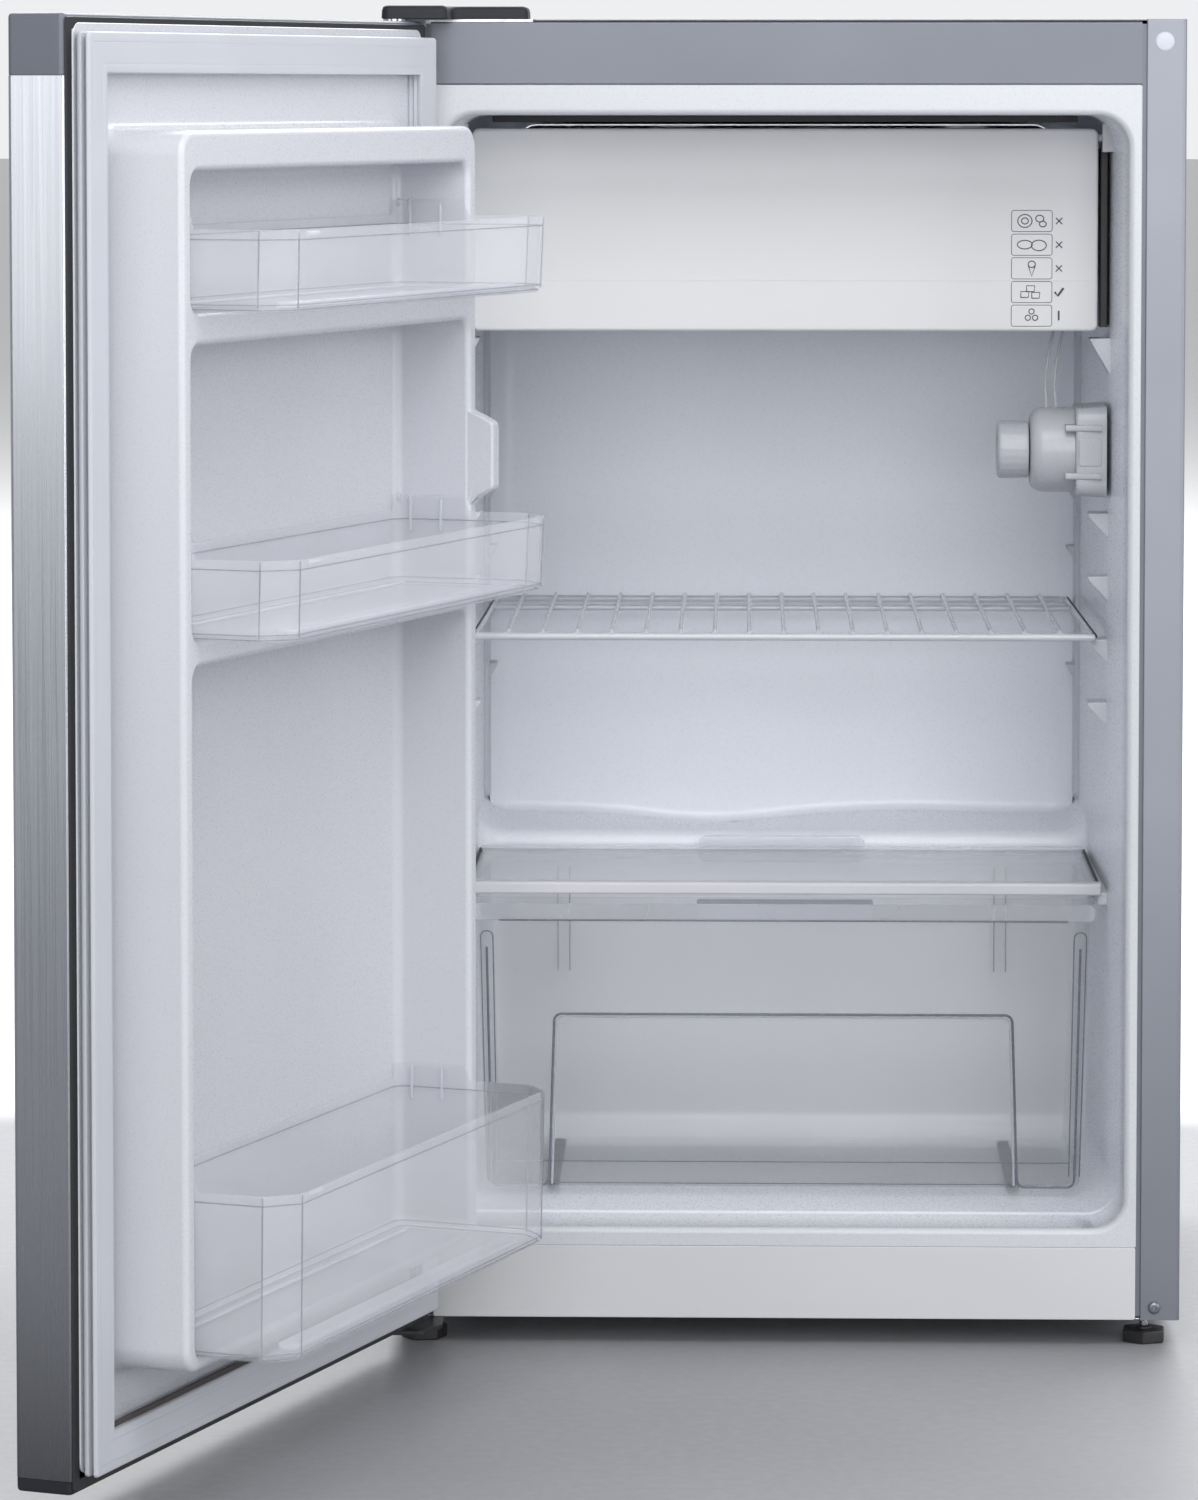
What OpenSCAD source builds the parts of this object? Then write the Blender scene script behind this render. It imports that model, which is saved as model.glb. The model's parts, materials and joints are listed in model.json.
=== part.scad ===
// Single-door mini fridge with a freezer compartment, door open on its hinges.
// Millimetres, +Z up, +Y towards the back. The origin is on the floor under the cabinet's centre.

/* [Cabinet] */
// Width of the cabinet
cab_w = 500; // [490:5:520]
// Depth of the cabinet, without its door and condenser
cab_d = 470; // [460:5:490]
// Height of the cabinet's underside above the floor
base_z = 18; // [17:1:20]
// Height of the cabinet's top above the floor
cab_top = 838; // [838:1:860]
// Thickness of the steel sheets
sheet = 1; // [0.8:0.1:1]
// Width of the front flanges of the side panels
flange_w = 25; // [25:1:27]
// Depth of the insulation behind the food compartment
back_wall = 60; // [60:5:80]

/* [Food compartment] */
// Width of the opening
open_w = 429; // [428:1:430]
// Height of the opening's lower edge
open_z0 = 76; // [74:1:78]
// Height of the opening's upper edge
open_z1 = 778; // [776:1:778]
// Corner radius of the opening
open_r = 20; // [16:1:22]
// Thickness of the plastic liner
liner_t = 1.5; // [1.2:0.1:1.8]
// Depth of the step over the compressor, behind the front plane
hump_depth = 300; // [298:1:306]
// Height of the step over the compressor
hump_z = 290; // [288:1:294]

/* [Door] */
// How far the door stands open
door_open = 110; // [0:5:120]
// Width of the door
door_w = 497; // [490:1:498]
// Thickness of the door without its gasket
door_t = 36; // [34:1:38]
// Height of the door's lower edge
door_z0 = 23; // [22:1:24]
// Height of the door's upper edge
door_z1 = 836; // [834:1:836]
// Height of the upper end cap
top_cap_h = 34; // [30:1:36]
// Height of the lower end cap
bottom_cap_h = 8; // [6:1:10]
// Thickness of the gasket
gasket_t = 10; // [9:0.5:10.5]
// Width of the gasket
gasket_w = 23; // [20:1:24]
// How far the door liner's rails stand into the cabinet
rail_reach = 39; // [36:1:40]

/* [Shelves and bins] */
// Height of the wire shelf
wire_shelf_z = 438; // [438:41:479]
// Number of wires along the shelf
wire_count = 17; // [13:1:19]
// Depth of the shelves' front edges behind the front plane
shelf_front = 105; // [103:1:110]
// Thickness of the bins' and the crisper's walls
bin_wall = 2; // [1.6:0.2:2.4]
// Height of the bins' raised ends over their rims
bin_ear = 9; // [6:1:12]

/* [Machine compartment] */
// Number of tube runs in the condenser
condenser_runs = 12; // [8:1:14]
// Number of wires across the condenser
condenser_wires = 16; // [10:1:20]
// Radius of the compressor's shell
compressor_r = 60; // [54:1:62]

/* [Hidden] */
$fn = 48;

// Colours
painted_grey = [0.62, 0.64, 0.68];
brushed = [0.74, 0.76, 0.79];
dark_plastic = [0.33, 0.36, 0.41];
black_plastic = [0.1, 0.1, 0.11];
white_plastic = [0.86, 0.87, 0.89];
clear_plastic = [0.8, 0.85, 0.9, 0.4];
bare_steel = [0.7, 0.71, 0.72];
copper = [0.72, 0.45, 0.3];

// Gaps between neighbours
touch = 0.3;
running = 0.05;
over = 1;

// Cabinet planes
half_w = cab_w / 2;
front = -cab_d / 2;
back = cab_d / 2;
skin_x = half_w - sheet;
back_sheet = back - 2 * sheet;
lip = 8;
foam_front = front + 12;
rear_flange = 12;
rail_half = 222;
rail_z0 = 797;
kick_z1 = 64;
kick_t = 1.5;
flange_half = 222.3;

// Food compartment: half width at each depth behind the front plane
open_half = open_w / 2;
cavity_depth = cab_d - back_wall;
cavity_back = front + cavity_depth;
wall_draft = [[0, 0], [60, 2], [110, 4.5], [hump_depth, 7], [cavity_depth, 9.5]];

// Machine compartment
bulkhead_y = front + hump_depth + 28;
bulkhead_z = hump_z - 28;
base_plate_t = 2;
base_plate_z = base_z + base_plate_t;
tail_z = 60;
compressor = [60, 165, base_plate_z];
compressor_z0 = base_plate_z + 14;
compressor_z1 = base_plate_z + 166;
shell_corner = 34;
seam_r = compressor_r + 4;
seam_z = base_plate_z + 88;
mount_plate = [160, 92, 3];
mount_plate_z = base_plate_z + 8;
grommet_r = 9;
tray = [[-40, 106, 190], [150, 224, 214]];
tray_wall = 2;
drain = [-30, cavity_back - 15];
drain_r = 5;
drain_wall = 1.2;
drain_end = 224;
gland_x = -150;
gland_z = 42;
gland_r = 8;

// Condenser
condenser_y = back + 15;
condenser_tube_r = 2.4;
condenser_half = 205;
condenser_z0 = 150;
condenser_z1 = 780;
condenser_pitch = (condenser_z1 - condenser_z0) / (condenser_runs - 1);
condenser_wire = 1.5;

// Hinges
hinge_x = 7 - half_w;
hinge_y = front - 31;
pin_r = 3;
pin_depth = 16;
bush_wall = 1.2;
hinge_cut_x = -158;
hinge_cut_y = front + 48;
hinge_mount_t = 3;
hinge_plate_t = 3;
cover_x = -161;
cover_z1 = cab_top + 8;
cover_wall = 1.6;
bracket_t = 3;
bracket_z0 = base_z - bracket_t;

// Feet
foot_x = half_w - 21;
foot_y = front + 25;
stud_r = 3;
stud_top = 36;
pad_r = 15;
pad_h = 12;
pad_turn_left = 8;
pad_turn_right = 24;
rear_foot = [215, 205];
boss_r = 6;
boss_h = 8;

// Door, in its closed place
door_half = door_w / 2;
gasket_face = front - 1;
door_back = gasket_face - gasket_t;
door_front = door_back - door_t;
plate_t = 1.5;
body_back = door_back - plate_t;
skin_z0 = door_z0 + bottom_cap_h;
skin_z1 = door_z1 - top_cap_h;
skin_r = 3;
skin_return = 10;
cap_wall = 2.5;
gasket_half = 240;
gasket_z0 = 41;
gasket_z1 = 826;
gasket_r = 10;
bellows_wall = 6;
magnet_t = 2;
door_plate_half = 240;
door_plate_z = [33, 831];
rail_x = 208;
rail_in = 196;
rail_z = [85, 772];
rail_y = front + rail_reach;
bays = [[92, 477], [491, 654], [672, 750]];
rail_r = 12;
bay_r = 8;
tab_z = [543, 597];
tab_reach = 15;
tab_slope = 7;

// Bins, in the closed door's place
bin_half = rail_in - 0.6;
bin_back = door_back + 0.4;
bin_front = front + 96;
bin_corner = 17;
bin_chamfer = 6;
upper_bin_z = [bays[2][0] + touch, 718];
middle_bin_z = [bays[1][0] + touch, 537];
lower_bin_z = [bays[0][0] + touch, 186];

// Shelf supports in the liner
support_levels = [397, 438, 479, 520];
support_tip = 197;
support_h = 6;
support_rows = [[124, 148], [374, 394]];
freezer_ledge_z = [615, 634];
freezer_ledge_rows = [[112, 136]];
crisper_ledge_tip = 203.3;
crisper_ledge_row = [110, 296];
crisper_ledge_z = [266, 275];

// Wire shelf
shelf_depth = 285;
shelf_half_front = 203;
shelf_half_back = 199.5;
bar_r = 2.5;
wire_r = 1.4;
wire_sink = 0.5;
wire_pitch = 22.3;

// Crisper
glass_z = [crisper_ledge_z[1] + touch, crisper_ledge_z[1] + touch + 4];
glass_half = 205.5;
glass_depth = 184;
trim_h = 8;
trim_t = 4;
trim_lap = 6;
drawer_z = [open_z0 + touch, 271];
drawer_top_half = 202.5;
drawer_bottom_half = 193;
drawer_depth = 184;
drawer_rim = 5;
drawer_rim_h = 4;
drawer_lip_h = 15;
drawer_foot = 5;

// Freezer compartment
flap_half = 201;
flap_z = [639, 769];
flap_depth = 100;
flap_t = 10;
flap_wall = 2.2;
flap_pin_r = 2.5;
flap_pin_len = 6;
flap_axis_y = front + flap_depth + 6;
flap_axis_z = flap_z[1] - 6;
bracket_x = flap_half + 2.5;
bracket_half = 9;
evap_half = 172;
evap_z = [648, 772];
evap_rows = [114, 382];
evap_t = 1.5;
evap_r = 12;
hanger_r = 7;
hanger_x = 150;
hanger_rows = [145, 350];

// Thermostat on the right-hand wall
stat_y = front + 132;
stat_z = 561;
stat_base = [32, 29.5];
stat_base_x = 190;
stat_dome_r = 27.5;
stat_dome_x = 159;
stat_dome_edge = 6;
stat_wall = 2;
dial_r = 19;
dial_x = [138, 158.4];
dial_grip_count = 24;
shaft_r = 4;
shaft_end = 172;
capillary_r = 0.9;

// ---- Shapes ----

module block(lo, hi) {
    translate(lo) cube(hi - lo);
}

// A rectangle with round corners, from corner lo to corner hi
module round_rect(lo, hi, r) {
    translate([lo.x + r, lo.y]) square([hi.x - lo.x - 2 * r, hi.y - lo.y]);
    translate([lo.x, lo.y + r]) square([hi.x - lo.x, hi.y - lo.y - 2 * r]);
    for (x = [lo.x + r, hi.x - r], y = [lo.y + r, hi.y - r])
        translate([x, y]) circle(r);
}

// Lifts an outline drawn in X and Z, and extrudes it from y0 to y1
module upright(y0, y1) {
    translate([0, y1, 0]) rotate([90, 0, 0]) linear_extrude(y1 - y0) children();
}

// Lifts an outline drawn in Y and Z, and extrudes it from x0 to x1
module sideways(x0, x1) {
    translate([x0, 0, 0]) rotate([90, 0, 90]) linear_extrude(x1 - x0) children();
}

module level(z0, z1) {
    translate([0, 0, z0]) linear_extrude(z1 - z0) children();
}

module rod_x(x0, x1, y, z, r) {
    translate([x0, y, z]) rotate([0, 90, 0]) cylinder(h = x1 - x0, r = r);
}

module rod_y(y0, y1, x, z, r) {
    translate([x, y0, z]) rotate([-90, 0, 0]) cylinder(h = y1 - y0, r = r);
}

module rod_z(z0, z1, x, y, r) {
    translate([x, y, z0]) cylinder(h = z1 - z0, r = r);
}

module both_sides() {
    for (side = [0, 1]) mirror([side, 0, 0]) children();
}

// Points of a path, with each inner corner cut twice to make a bend
function cut_corners(p) = [
    p[0],
    for (i = [1:len(p) - 2]) each [p[i] * 0.8 + p[i - 1] * 0.2, p[i] * 0.8 + p[i + 1] * 0.2],
    p[len(p) - 1]
];
function unit(v) = v / norm(v);
function path_dir(p, i) =
    unit(p[min(i + 1, len(p) - 1)] - p[max(i - 1, 0)]);

// A tube along a path that lies in one plane, whose normal is given
module flat_tube(path, normal, r, sides = 8) {
    p = cut_corners(cut_corners(path));
    n = len(p);
    points = [
        for (i = [0:n - 1], k = [0:sides - 1])
            p[i] + r * (cos(360 * k / sides) * normal
                + sin(360 * k / sides) * cross(path_dir(p, i), normal))
    ];
    rings = [
        for (i = [0:n - 2], k = [0:sides - 1])
            [i * sides + k, i * sides + (k + 1) % sides,
             (i + 1) * sides + (k + 1) % sides, (i + 1) * sides + k]
    ];
    start = [[for (k = [sides - 1:-1:0]) k]];
    end = [[for (k = [0:sides - 1]) (n - 1) * sides + k]];
    polyhedron(points, concat(rings, start, end));
}

// Moves a closed-door piece to where the open door holds it
module on_door() {
    translate([hinge_x, hinge_y, 0]) rotate([0, 0, -door_open])
        translate([-hinge_x, -hinge_y, 0]) children();
}

// ---- Cabinet shell ----

module side_panel() {
    difference() {
        union() {
            block([skin_x, front, base_z], [half_w, back, cab_top]);
            block([half_w - flange_w, front, base_z], [half_w, front + sheet, cab_top]);
            block([half_w - flange_w, front, base_z + 2],
                  [half_w - flange_w + sheet, front + lip, cab_top - 5]);
            block([half_w - rear_flange, back - sheet, base_z], [half_w, back, cab_top]);
        }
        rod_y(front - over, front + 5, half_w - 16, base_z + 8, 2);
        rod_y(front - over, front + 5, half_w - 14, cab_top - 14, 3.5);
    }
}

module side_panel_left() { color(painted_grey) mirror([1, 0, 0]) side_panel(); }
module side_panel_right() { color(painted_grey) side_panel(); }

module top_panel() {
    color(painted_grey) difference() {
        union() {
            block([-skin_x, front + sheet, cab_top - sheet], [skin_x, back - sheet, cab_top]);
            block([-half_w + flange_w, front, cab_top - sheet],
                  [half_w - flange_w, front + sheet, cab_top]);
        }
        block([-half_w, front - over, cab_top - 2], [hinge_cut_x, hinge_cut_y, cab_top + over]);
    }
}

module front_top_rail() {
    color(painted_grey) {
        block([-rail_half, front, rail_z0], [rail_half, front + sheet, cab_top - 2]);
        block([-rail_half, front, rail_z0], [rail_half, front + lip, rail_z0 + sheet]);
    }
}

module back_panel() {
    color(painted_grey)
        block([-skin_x, back_sheet, bulkhead_z], [skin_x, back - sheet, cab_top - sheet]);
}

module bottom_pan() {
    color(painted_grey) difference() {
        union() {
            block([-skin_x, front + 2, base_z], [skin_x, bulkhead_y, base_z + sheet]);
            for (x = [-foot_x, foot_x]) rod_z(base_z, base_z + boss_h, x, foot_y, boss_r);
        }
        for (x = [-foot_x, foot_x])
            rod_z(base_z - over, base_z + boss_h + over, x, foot_y, stud_r + running);
    }
}

module kick_plate() {
    color(white_plastic) {
        block([-rail_half, front, base_z], [rail_half, front + kick_t, kick_z1]);
        block([-rail_half, front, kick_z1 - kick_t], [rail_half, front + lip, kick_z1]);
    }
}

module compressor_bulkhead() {
    color(painted_grey) difference() {
        union() {
            block([-skin_x, bulkhead_y, base_plate_z], [skin_x, bulkhead_y + sheet, bulkhead_z + sheet]);
            block([-skin_x, bulkhead_y, bulkhead_z], [skin_x, back_sheet, bulkhead_z + sheet]);
        }
        rod_z(bulkhead_z - over, bulkhead_z + 3, drain.x, drain.y, drain_r + touch);
    }
}

// ---- Food compartment ----

// The walls' draft seen from above, moved outwards by grow
module wall_plan(grow) {
    side = [for (d = wall_draft) [open_half - d[1] + grow, front + d[0]]];
    deep = [open_half - wall_draft[4][1] + grow, cavity_back + grow];
    mouth = [open_half + grow, front - over];
    right = concat([mouth], side, [deep]);
    left = [for (i = [len(right) - 1:-1:0]) [-right[i].x, right[i].y]];
    polygon(concat(right, left));
}

// The space of the food compartment, grown by the liner's thickness or not
module cavity(grow, mouth_y) {
    difference() {
        intersection() {
            upright(mouth_y, cavity_back + grow)
                round_rect([-open_half - grow, open_z0 - grow],
                           [open_half + grow, open_z1 + grow], open_r + grow);
            level(open_z0 - 5, open_z1 + 5) wall_plan(grow);
        }
        block([-half_w, front + hump_depth + grow, 0],
              [half_w, cavity_back + 10, hump_z - grow]);
    }
}

// A ledge on both side walls, held between the wall and its tip
module wall_ledge(tip, row, z) {
    both_sides() intersection() {
        block([tip, front + row[0], z[0]], [half_w, front + row[1], z[1]]);
        cavity(liner_t / 2, front - over);
    }
}

module liner() {
    color(white_plastic) difference() {
        union() {
            difference() {
                union() {
                    upright(front, front + liner_t)
                        round_rect([-flange_half, kick_z1], [flange_half, rail_z0], 1);
                    cavity(liner_t, front);
                }
                cavity(0, front - over);
            }
            for (z = support_levels, row = support_rows)
                wall_ledge(support_tip, row, [z - support_h, z]);
            for (row = freezer_ledge_rows) wall_ledge(support_tip, row, freezer_ledge_z);
            wall_ledge(crisper_ledge_tip, crisper_ledge_row, crisper_ledge_z);
        }
        rod_z(hump_z - 5, hump_z + over, drain.x, drain.y, drain_r + touch);
    }
}

module cabinet_foam() {
    color([0.95, 0.9, 0.7]) difference() {
        block([-skin_x, foam_front, base_z + sheet], [skin_x, back_sheet, cab_top - sheet]);
        cavity(liner_t, front - over);
        block([-half_w, bulkhead_y, 0], [half_w, back, bulkhead_z + sheet]);
        block([-half_w, front, cab_top - 5], [hinge_cut_x + over, hinge_cut_y + over, cab_top]);
        rod_z(bulkhead_z, hump_z, drain.x, drain.y, drain_r + touch);
        for (x = [-foot_x, foot_x]) rod_z(base_z, base_z + 24, x, foot_y, boss_r + 2);
    }
}

module flange_screws() {
    color(bare_steel) both_sides() {
        rod_y(front - 1.6, front, half_w - 16, base_z + 8, 4);
        rod_y(front, front + 9, half_w - 16, base_z + 8, 1.9);
    }
}

module hole_plugs() {
    color(white_plastic) {
        rod_y(front - 0.8, front, half_w - 14, cab_top - 14, 6);
        rod_y(front, front + 5, half_w - 14, cab_top - 14, 3.4);
    }
}

// ---- Hinges ----

module top_hinge_mount() {
    color(bare_steel)
        block([-skin_x, front + sheet, cab_top - hinge_mount_t], [hinge_cut_x, hinge_cut_y, cab_top]);
}

module top_hinge_plate() {
    color(bare_steel) difference() {
        union() {
            level(cab_top, cab_top + hinge_plate_t)
                round_rect([-half_w + 5, front + 4], [cover_x - 6, front + 38], 3);
            level(cab_top, cab_top + hinge_plate_t)
                round_rect([-half_w + 5, hinge_y - 12], [hinge_x + 24, front + 20], 2);
        }
        rod_z(cab_top - over, cab_top + 5, hinge_x, hinge_y, pin_r);
    }
}

module top_hinge_pin() {
    color(bare_steel) {
        rod_z(door_z1 - pin_depth, cab_top + hinge_plate_t, hinge_x, hinge_y, pin_r);
        rod_z(cab_top + hinge_plate_t, cab_top + hinge_plate_t + 1.5, hinge_x, hinge_y, pin_r + 1.5);
    }
}

module cover_plan(inset) {
    round_rect([-half_w + inset, front + 1 + inset], [cover_x - inset, front + 45 - inset], 5 - inset);
    round_rect([-half_w + inset, hinge_y - 18 + inset], [hinge_x + 34 - inset, front + 30], 5 - inset);
}

module top_hinge_cover() {
    color(dark_plastic) difference() {
        level(cab_top, cover_z1) cover_plan(0);
        level(cab_top - over, cover_z1 - cover_wall) cover_plan(cover_wall);
    }
}

module lower_hinge_bracket() {
    color(black_plastic) difference() {
        union() {
            level(bracket_z0, base_z)
                round_rect([hinge_x - 3, hinge_y - 12], [-foot_x + 14, foot_y + 26], 4);
            rod_z(base_z, base_z + 3, hinge_x + 2, hinge_y, 8);
        }
        rod_z(bracket_z0 - over, base_z + over, -foot_x, foot_y, stud_r + 1);
        rod_z(bracket_z0 - over, base_z + 5, hinge_x, hinge_y, pin_r);
    }
}

module lower_hinge_pin() {
    color(bare_steel) {
        rod_z(bracket_z0, door_z0 + pin_depth, hinge_x, hinge_y, pin_r);
        rod_z(bracket_z0 - 1.5, bracket_z0, hinge_x, hinge_y, pin_r + 2);
    }
}

module hinge_washers() {
    color(bare_steel) difference() {
        union() {
            rod_z(base_z + 3, door_z0 - touch, hinge_x, hinge_y, pin_r + 4);
            rod_z(door_z1 + touch, cab_top, hinge_x, hinge_y, pin_r + 4);
        }
        rod_z(base_z, cab_top + 2, hinge_x, hinge_y, pin_r);
    }
}

// ---- Freezer compartment ----

module evap_outline(inset) {
    round_rect([-evap_half + inset, evap_z[0] + inset], [evap_half - inset, evap_z[1] - inset],
               evap_r - inset);
}

module evaporator() {
    color([0.75, 0.77, 0.8]) difference() {
        upright(front + evap_rows[0], front + evap_rows[1]) evap_outline(0);
        upright(front + evap_rows[0] - over, front + evap_rows[1] - evap_t) evap_outline(evap_t);
    }
}

module evaporator_hangers() {
    color(white_plastic) for (x = [-hanger_x, hanger_x], d = hanger_rows)
        rod_z(evap_z[1], open_z1, x, front + d, hanger_r);
}

module flap_brackets() {
    color(white_plastic) both_sides() difference() {
        intersection() {
            block([bracket_x, flap_axis_y - bracket_half, flap_axis_z - bracket_half],
                  [half_w, flap_axis_y + bracket_half, flap_axis_z + bracket_half]);
            cavity(0, front);
        }
        rod_x(bracket_x - over, flap_half + flap_pin_len + 0.5, flap_axis_y, flap_axis_z,
              flap_pin_r + running);
    }
}

module freezer_flap() {
    y0 = front + flap_depth;
    color(white_plastic) {
        difference() {
            upright(y0, y0 + flap_t)
                round_rect([-flap_half, flap_z[0]], [flap_half, flap_z[1]], 4);
            upright(y0 + flap_wall, y0 + flap_t + over)
                round_rect([-flap_half + flap_wall, flap_z[0] + flap_wall],
                           [flap_half - flap_wall, flap_z[1] - flap_wall], 2);
        }
        both_sides() rod_x(flap_half - flap_wall, flap_half + flap_pin_len,
                           flap_axis_y, flap_axis_z, flap_pin_r);
    }
}

// ---- Thermostat ----

module thermostat_housing() {
    color(white_plastic) difference() {
        union() {
            intersection() {
                block([stat_base_x, stat_y - stat_base[0], stat_z - stat_base[1]],
                      [half_w, stat_y + stat_base[0], stat_z + stat_base[1]]);
                cavity(0, front);
            }
            rod_x(stat_dome_x + stat_dome_edge, stat_base_x + 1, stat_y, stat_z, stat_dome_r);
            rod_x(stat_dome_x, stat_dome_x + stat_dome_edge + 1, stat_y, stat_z,
                  stat_dome_r - stat_dome_edge);
        }
        rod_x(stat_dome_x + stat_dome_edge + stat_wall, half_w, stat_y, stat_z,
              stat_dome_r - stat_dome_edge);
        rod_x(stat_dome_x - over, stat_base_x, stat_y, stat_z, shaft_r + running);
    }
}

module thermostat_switch() {
    color(bare_steel) difference() {
        block([shaft_end + 1, stat_y - 14, stat_z - 12], [stat_base_x + 12, stat_y + 14, stat_z + 12]);
        rod_x(shaft_end, shaft_end + 4, stat_y, stat_z, shaft_r + 2);
    }
}

module thermostat_dial() {
    notch = dial_r / 12;
    color(white_plastic) {
        difference() {
            rod_x(dial_x[0], dial_x[1], stat_y, stat_z, dial_r);
            for (k = [0:dial_grip_count - 1])
                translate([0, stat_y, stat_z]) rotate([k * 360 / dial_grip_count, 0, 0])
                    rod_x(dial_x[0] - over, dial_x[0] + 12, 0, dial_r + notch / 3, notch);
        }
        rod_x(dial_x[1], shaft_end, stat_y, stat_z, shaft_r);
    }
}

module capillary_tubes() {
    top = evap_z[0] + 20;
    color(white_plastic) for (gap = [0, 6])
        flat_tube([[170 + gap, stat_y, stat_z + stat_dome_r + touch],
                   [169 + gap, stat_y, stat_z + 50],
                   [176 + gap, stat_y, top - 30],
                   [178 + gap, stat_y, top]], [0, 1, 0], capillary_r);
}

// ---- Machine compartment ----

module drain_tube() {
    color(black_plastic) difference() {
        rod_z(drain_end, hump_z - liner_t, drain.x, drain.y, drain_r);
        rod_z(drain_end - over, hump_z, drain.x, drain.y, drain_r - drain_wall);
    }
}

module compressor_base() {
    color(painted_grey) difference() {
        union() {
            block([-skin_x, bulkhead_y, base_z], [skin_x, back - sheet, base_plate_z]);
            block([gland_x - 40, back - 3, base_plate_z], [gland_x + 40, back - 3 + sheet, tail_z]);
        }
        for (x = [-rear_foot.x, rear_foot.x])
            rod_z(base_z - over, base_plate_z + over, x, rear_foot.y, 3);
        rod_y(back - 5, back, gland_x, gland_z, gland_r);
    }
}

module rear_feet() {
    color(black_plastic) for (x = [-rear_foot.x, rear_foot.x]) {
        rod_z(0, base_z, x, rear_foot.y, 16);
        rod_z(base_z, base_plate_z + 3, x, rear_foot.y, 2.9);
    }
}

module compressor_shell() {
    r = compressor_r;
    color(black_plastic) {
        translate([compressor.x, compressor.y, 0]) rotate_extrude() difference() {
            union() {
                round_rect([-r, compressor_z0], [r, compressor_z1], shell_corner);
                translate([-seam_r, seam_z]) square([2 * seam_r, 4]);
            }
            translate([-2 * r, 0]) square([2 * r, 2 * compressor_z1]);
        }
        difference() {
            level(mount_plate_z, mount_plate_z + mount_plate.z)
                round_rect([compressor.x - mount_plate.x / 2, compressor.y - mount_plate.y / 2],
                           [compressor.x + mount_plate.x / 2, compressor.y + mount_plate.y / 2], 10);
            compressor_mounts() cylinder(h = 60, r = 3.2);
        }
        rod_z(mount_plate_z, compressor_z0 + 12, compressor.x, compressor.y, r - 30);
    }
}

module compressor_mounts() {
    for (x = [-1, 1], y = [-1, 1])
        translate([compressor.x + x * (mount_plate.x / 2 - 11),
                   compressor.y + y * (mount_plate.y / 2 - 11), 0]) children();
}

module compressor_grommets() {
    color(black_plastic) compressor_mounts() {
        translate([0, 0, base_plate_z]) cylinder(h = mount_plate_z - base_plate_z, r = grommet_r);
        translate([0, 0, mount_plate_z]) cylinder(h = mount_plate.z + 6, r = 3);
    }
}

module relay_cover() {
    x0 = compressor.x - compressor_r - 26;
    color(black_plastic) difference() {
        block([x0, compressor.y - 26, seam_z + 6], [x0 + 34, compressor.y + 26, seam_z + 50]);
        block([x0 + 2, compressor.y - 24, seam_z + 8], [x0 + 36, compressor.y + 24, seam_z + 48]);
        rod_z(0, cab_top, compressor.x, compressor.y, compressor_r + touch);
    }
}

module suction_line() {
    y = compressor.y - 30;
    x = compressor.x + compressor_r;
    color(copper) flat_tube([[x + 1, y, seam_z + 20], [x + 40, y, seam_z + 20],
                             [x + 40, y, bulkhead_z - 60], [x + 40, y, bulkhead_z - touch]],
                            [0, 1, 0], 3.2);
}

module discharge_line() {
    y = compressor.y + 20;
    x = compressor.x + compressor_r;
    color(copper) flat_tube([[x + 1, y, seam_z - 24], [x + 60, y, seam_z - 24],
                             [x + 60, y, seam_z + 60], [x + 60, y, bulkhead_z - touch]],
                            [0, 1, 0], 2.5);
}

module filter_drier() {
    color(copper) translate([-170, 150, 90]) rotate_extrude()
        polygon([[0, 0], [2, 0], [2.5, 12], [9, 20], [9, 95], [2, 104], [1.5, 125], [0, 125]]);
}

module condenser() {
    r = condenser_tube_r;
    bend = condenser_pitch / 2;
    color(black_plastic) {
        for (k = [0:condenser_runs - 1])
            rod_x(-condenser_half, condenser_half, condenser_y, condenser_z0 + k * condenser_pitch, r);
        for (k = [0:condenser_runs - 2])
            translate([k % 2 == 0 ? condenser_half : -condenser_half, condenser_y,
                       condenser_z0 + (k + 0.5) * condenser_pitch])
                rotate([90, k % 2 == 0 ? 90 : -90, 0]) rotate_extrude(angle = 180)
                    translate([bend, 0]) circle(r);
        for (k = [0:condenser_wires - 1])
            block([wire_at(k) - condenser_wire / 2, condenser_y + r - 0.6, condenser_z0 - 8],
                  [wire_at(k) + condenser_wire / 2, condenser_y + r - 0.6 + condenser_wire,
                   condenser_z1 + 8]);
    }
}

function wire_at(k) = condenser_half * 0.94 * (2 * k / (condenser_wires - 1) - 1);

module condenser_brackets() {
    color(black_plastic) for (x = [-1, 1], k = [1, condenser_runs - 3])
        difference() {
            x0 = x * 0.6 * condenser_half;
            z0 = condenser_z0 + k * condenser_pitch;
            block([x0 - 7, back - sheet, z0 - 6], [x0 + 7, condenser_y + 1, z0 + 6]);
            rod_x(x0 - 8, x0 + 8, condenser_y, z0, condenser_tube_r + touch);
        }
}

module evaporation_tray() {
    wall = [tray_wall, tray_wall, tray_wall];
    color(black_plastic) difference() {
        block(tray[0], tray[1]);
        block(tray[0] + wall, tray[1] + [-tray_wall, -tray_wall, over]);
    }
}

module cord_gland() {
    color(black_plastic) difference() {
        union() {
            rod_y(back - 7, back + 2, gland_x, gland_z, gland_r - 0.2);
            rod_y(back - 2, back + 2, gland_x, gland_z, gland_r + 3);
            rod_y(back - 7, back - 3, gland_x, gland_z, gland_r + 2);
        }
        rod_y(back - 8, back + 4, gland_x, gland_z, 3.6);
    }
}

// ---- Door ----

module door_profile(inset) {
    round_rect([-door_half + inset, door_front + inset], [door_half - inset, body_back - inset],
               skin_r - inset);
}

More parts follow.
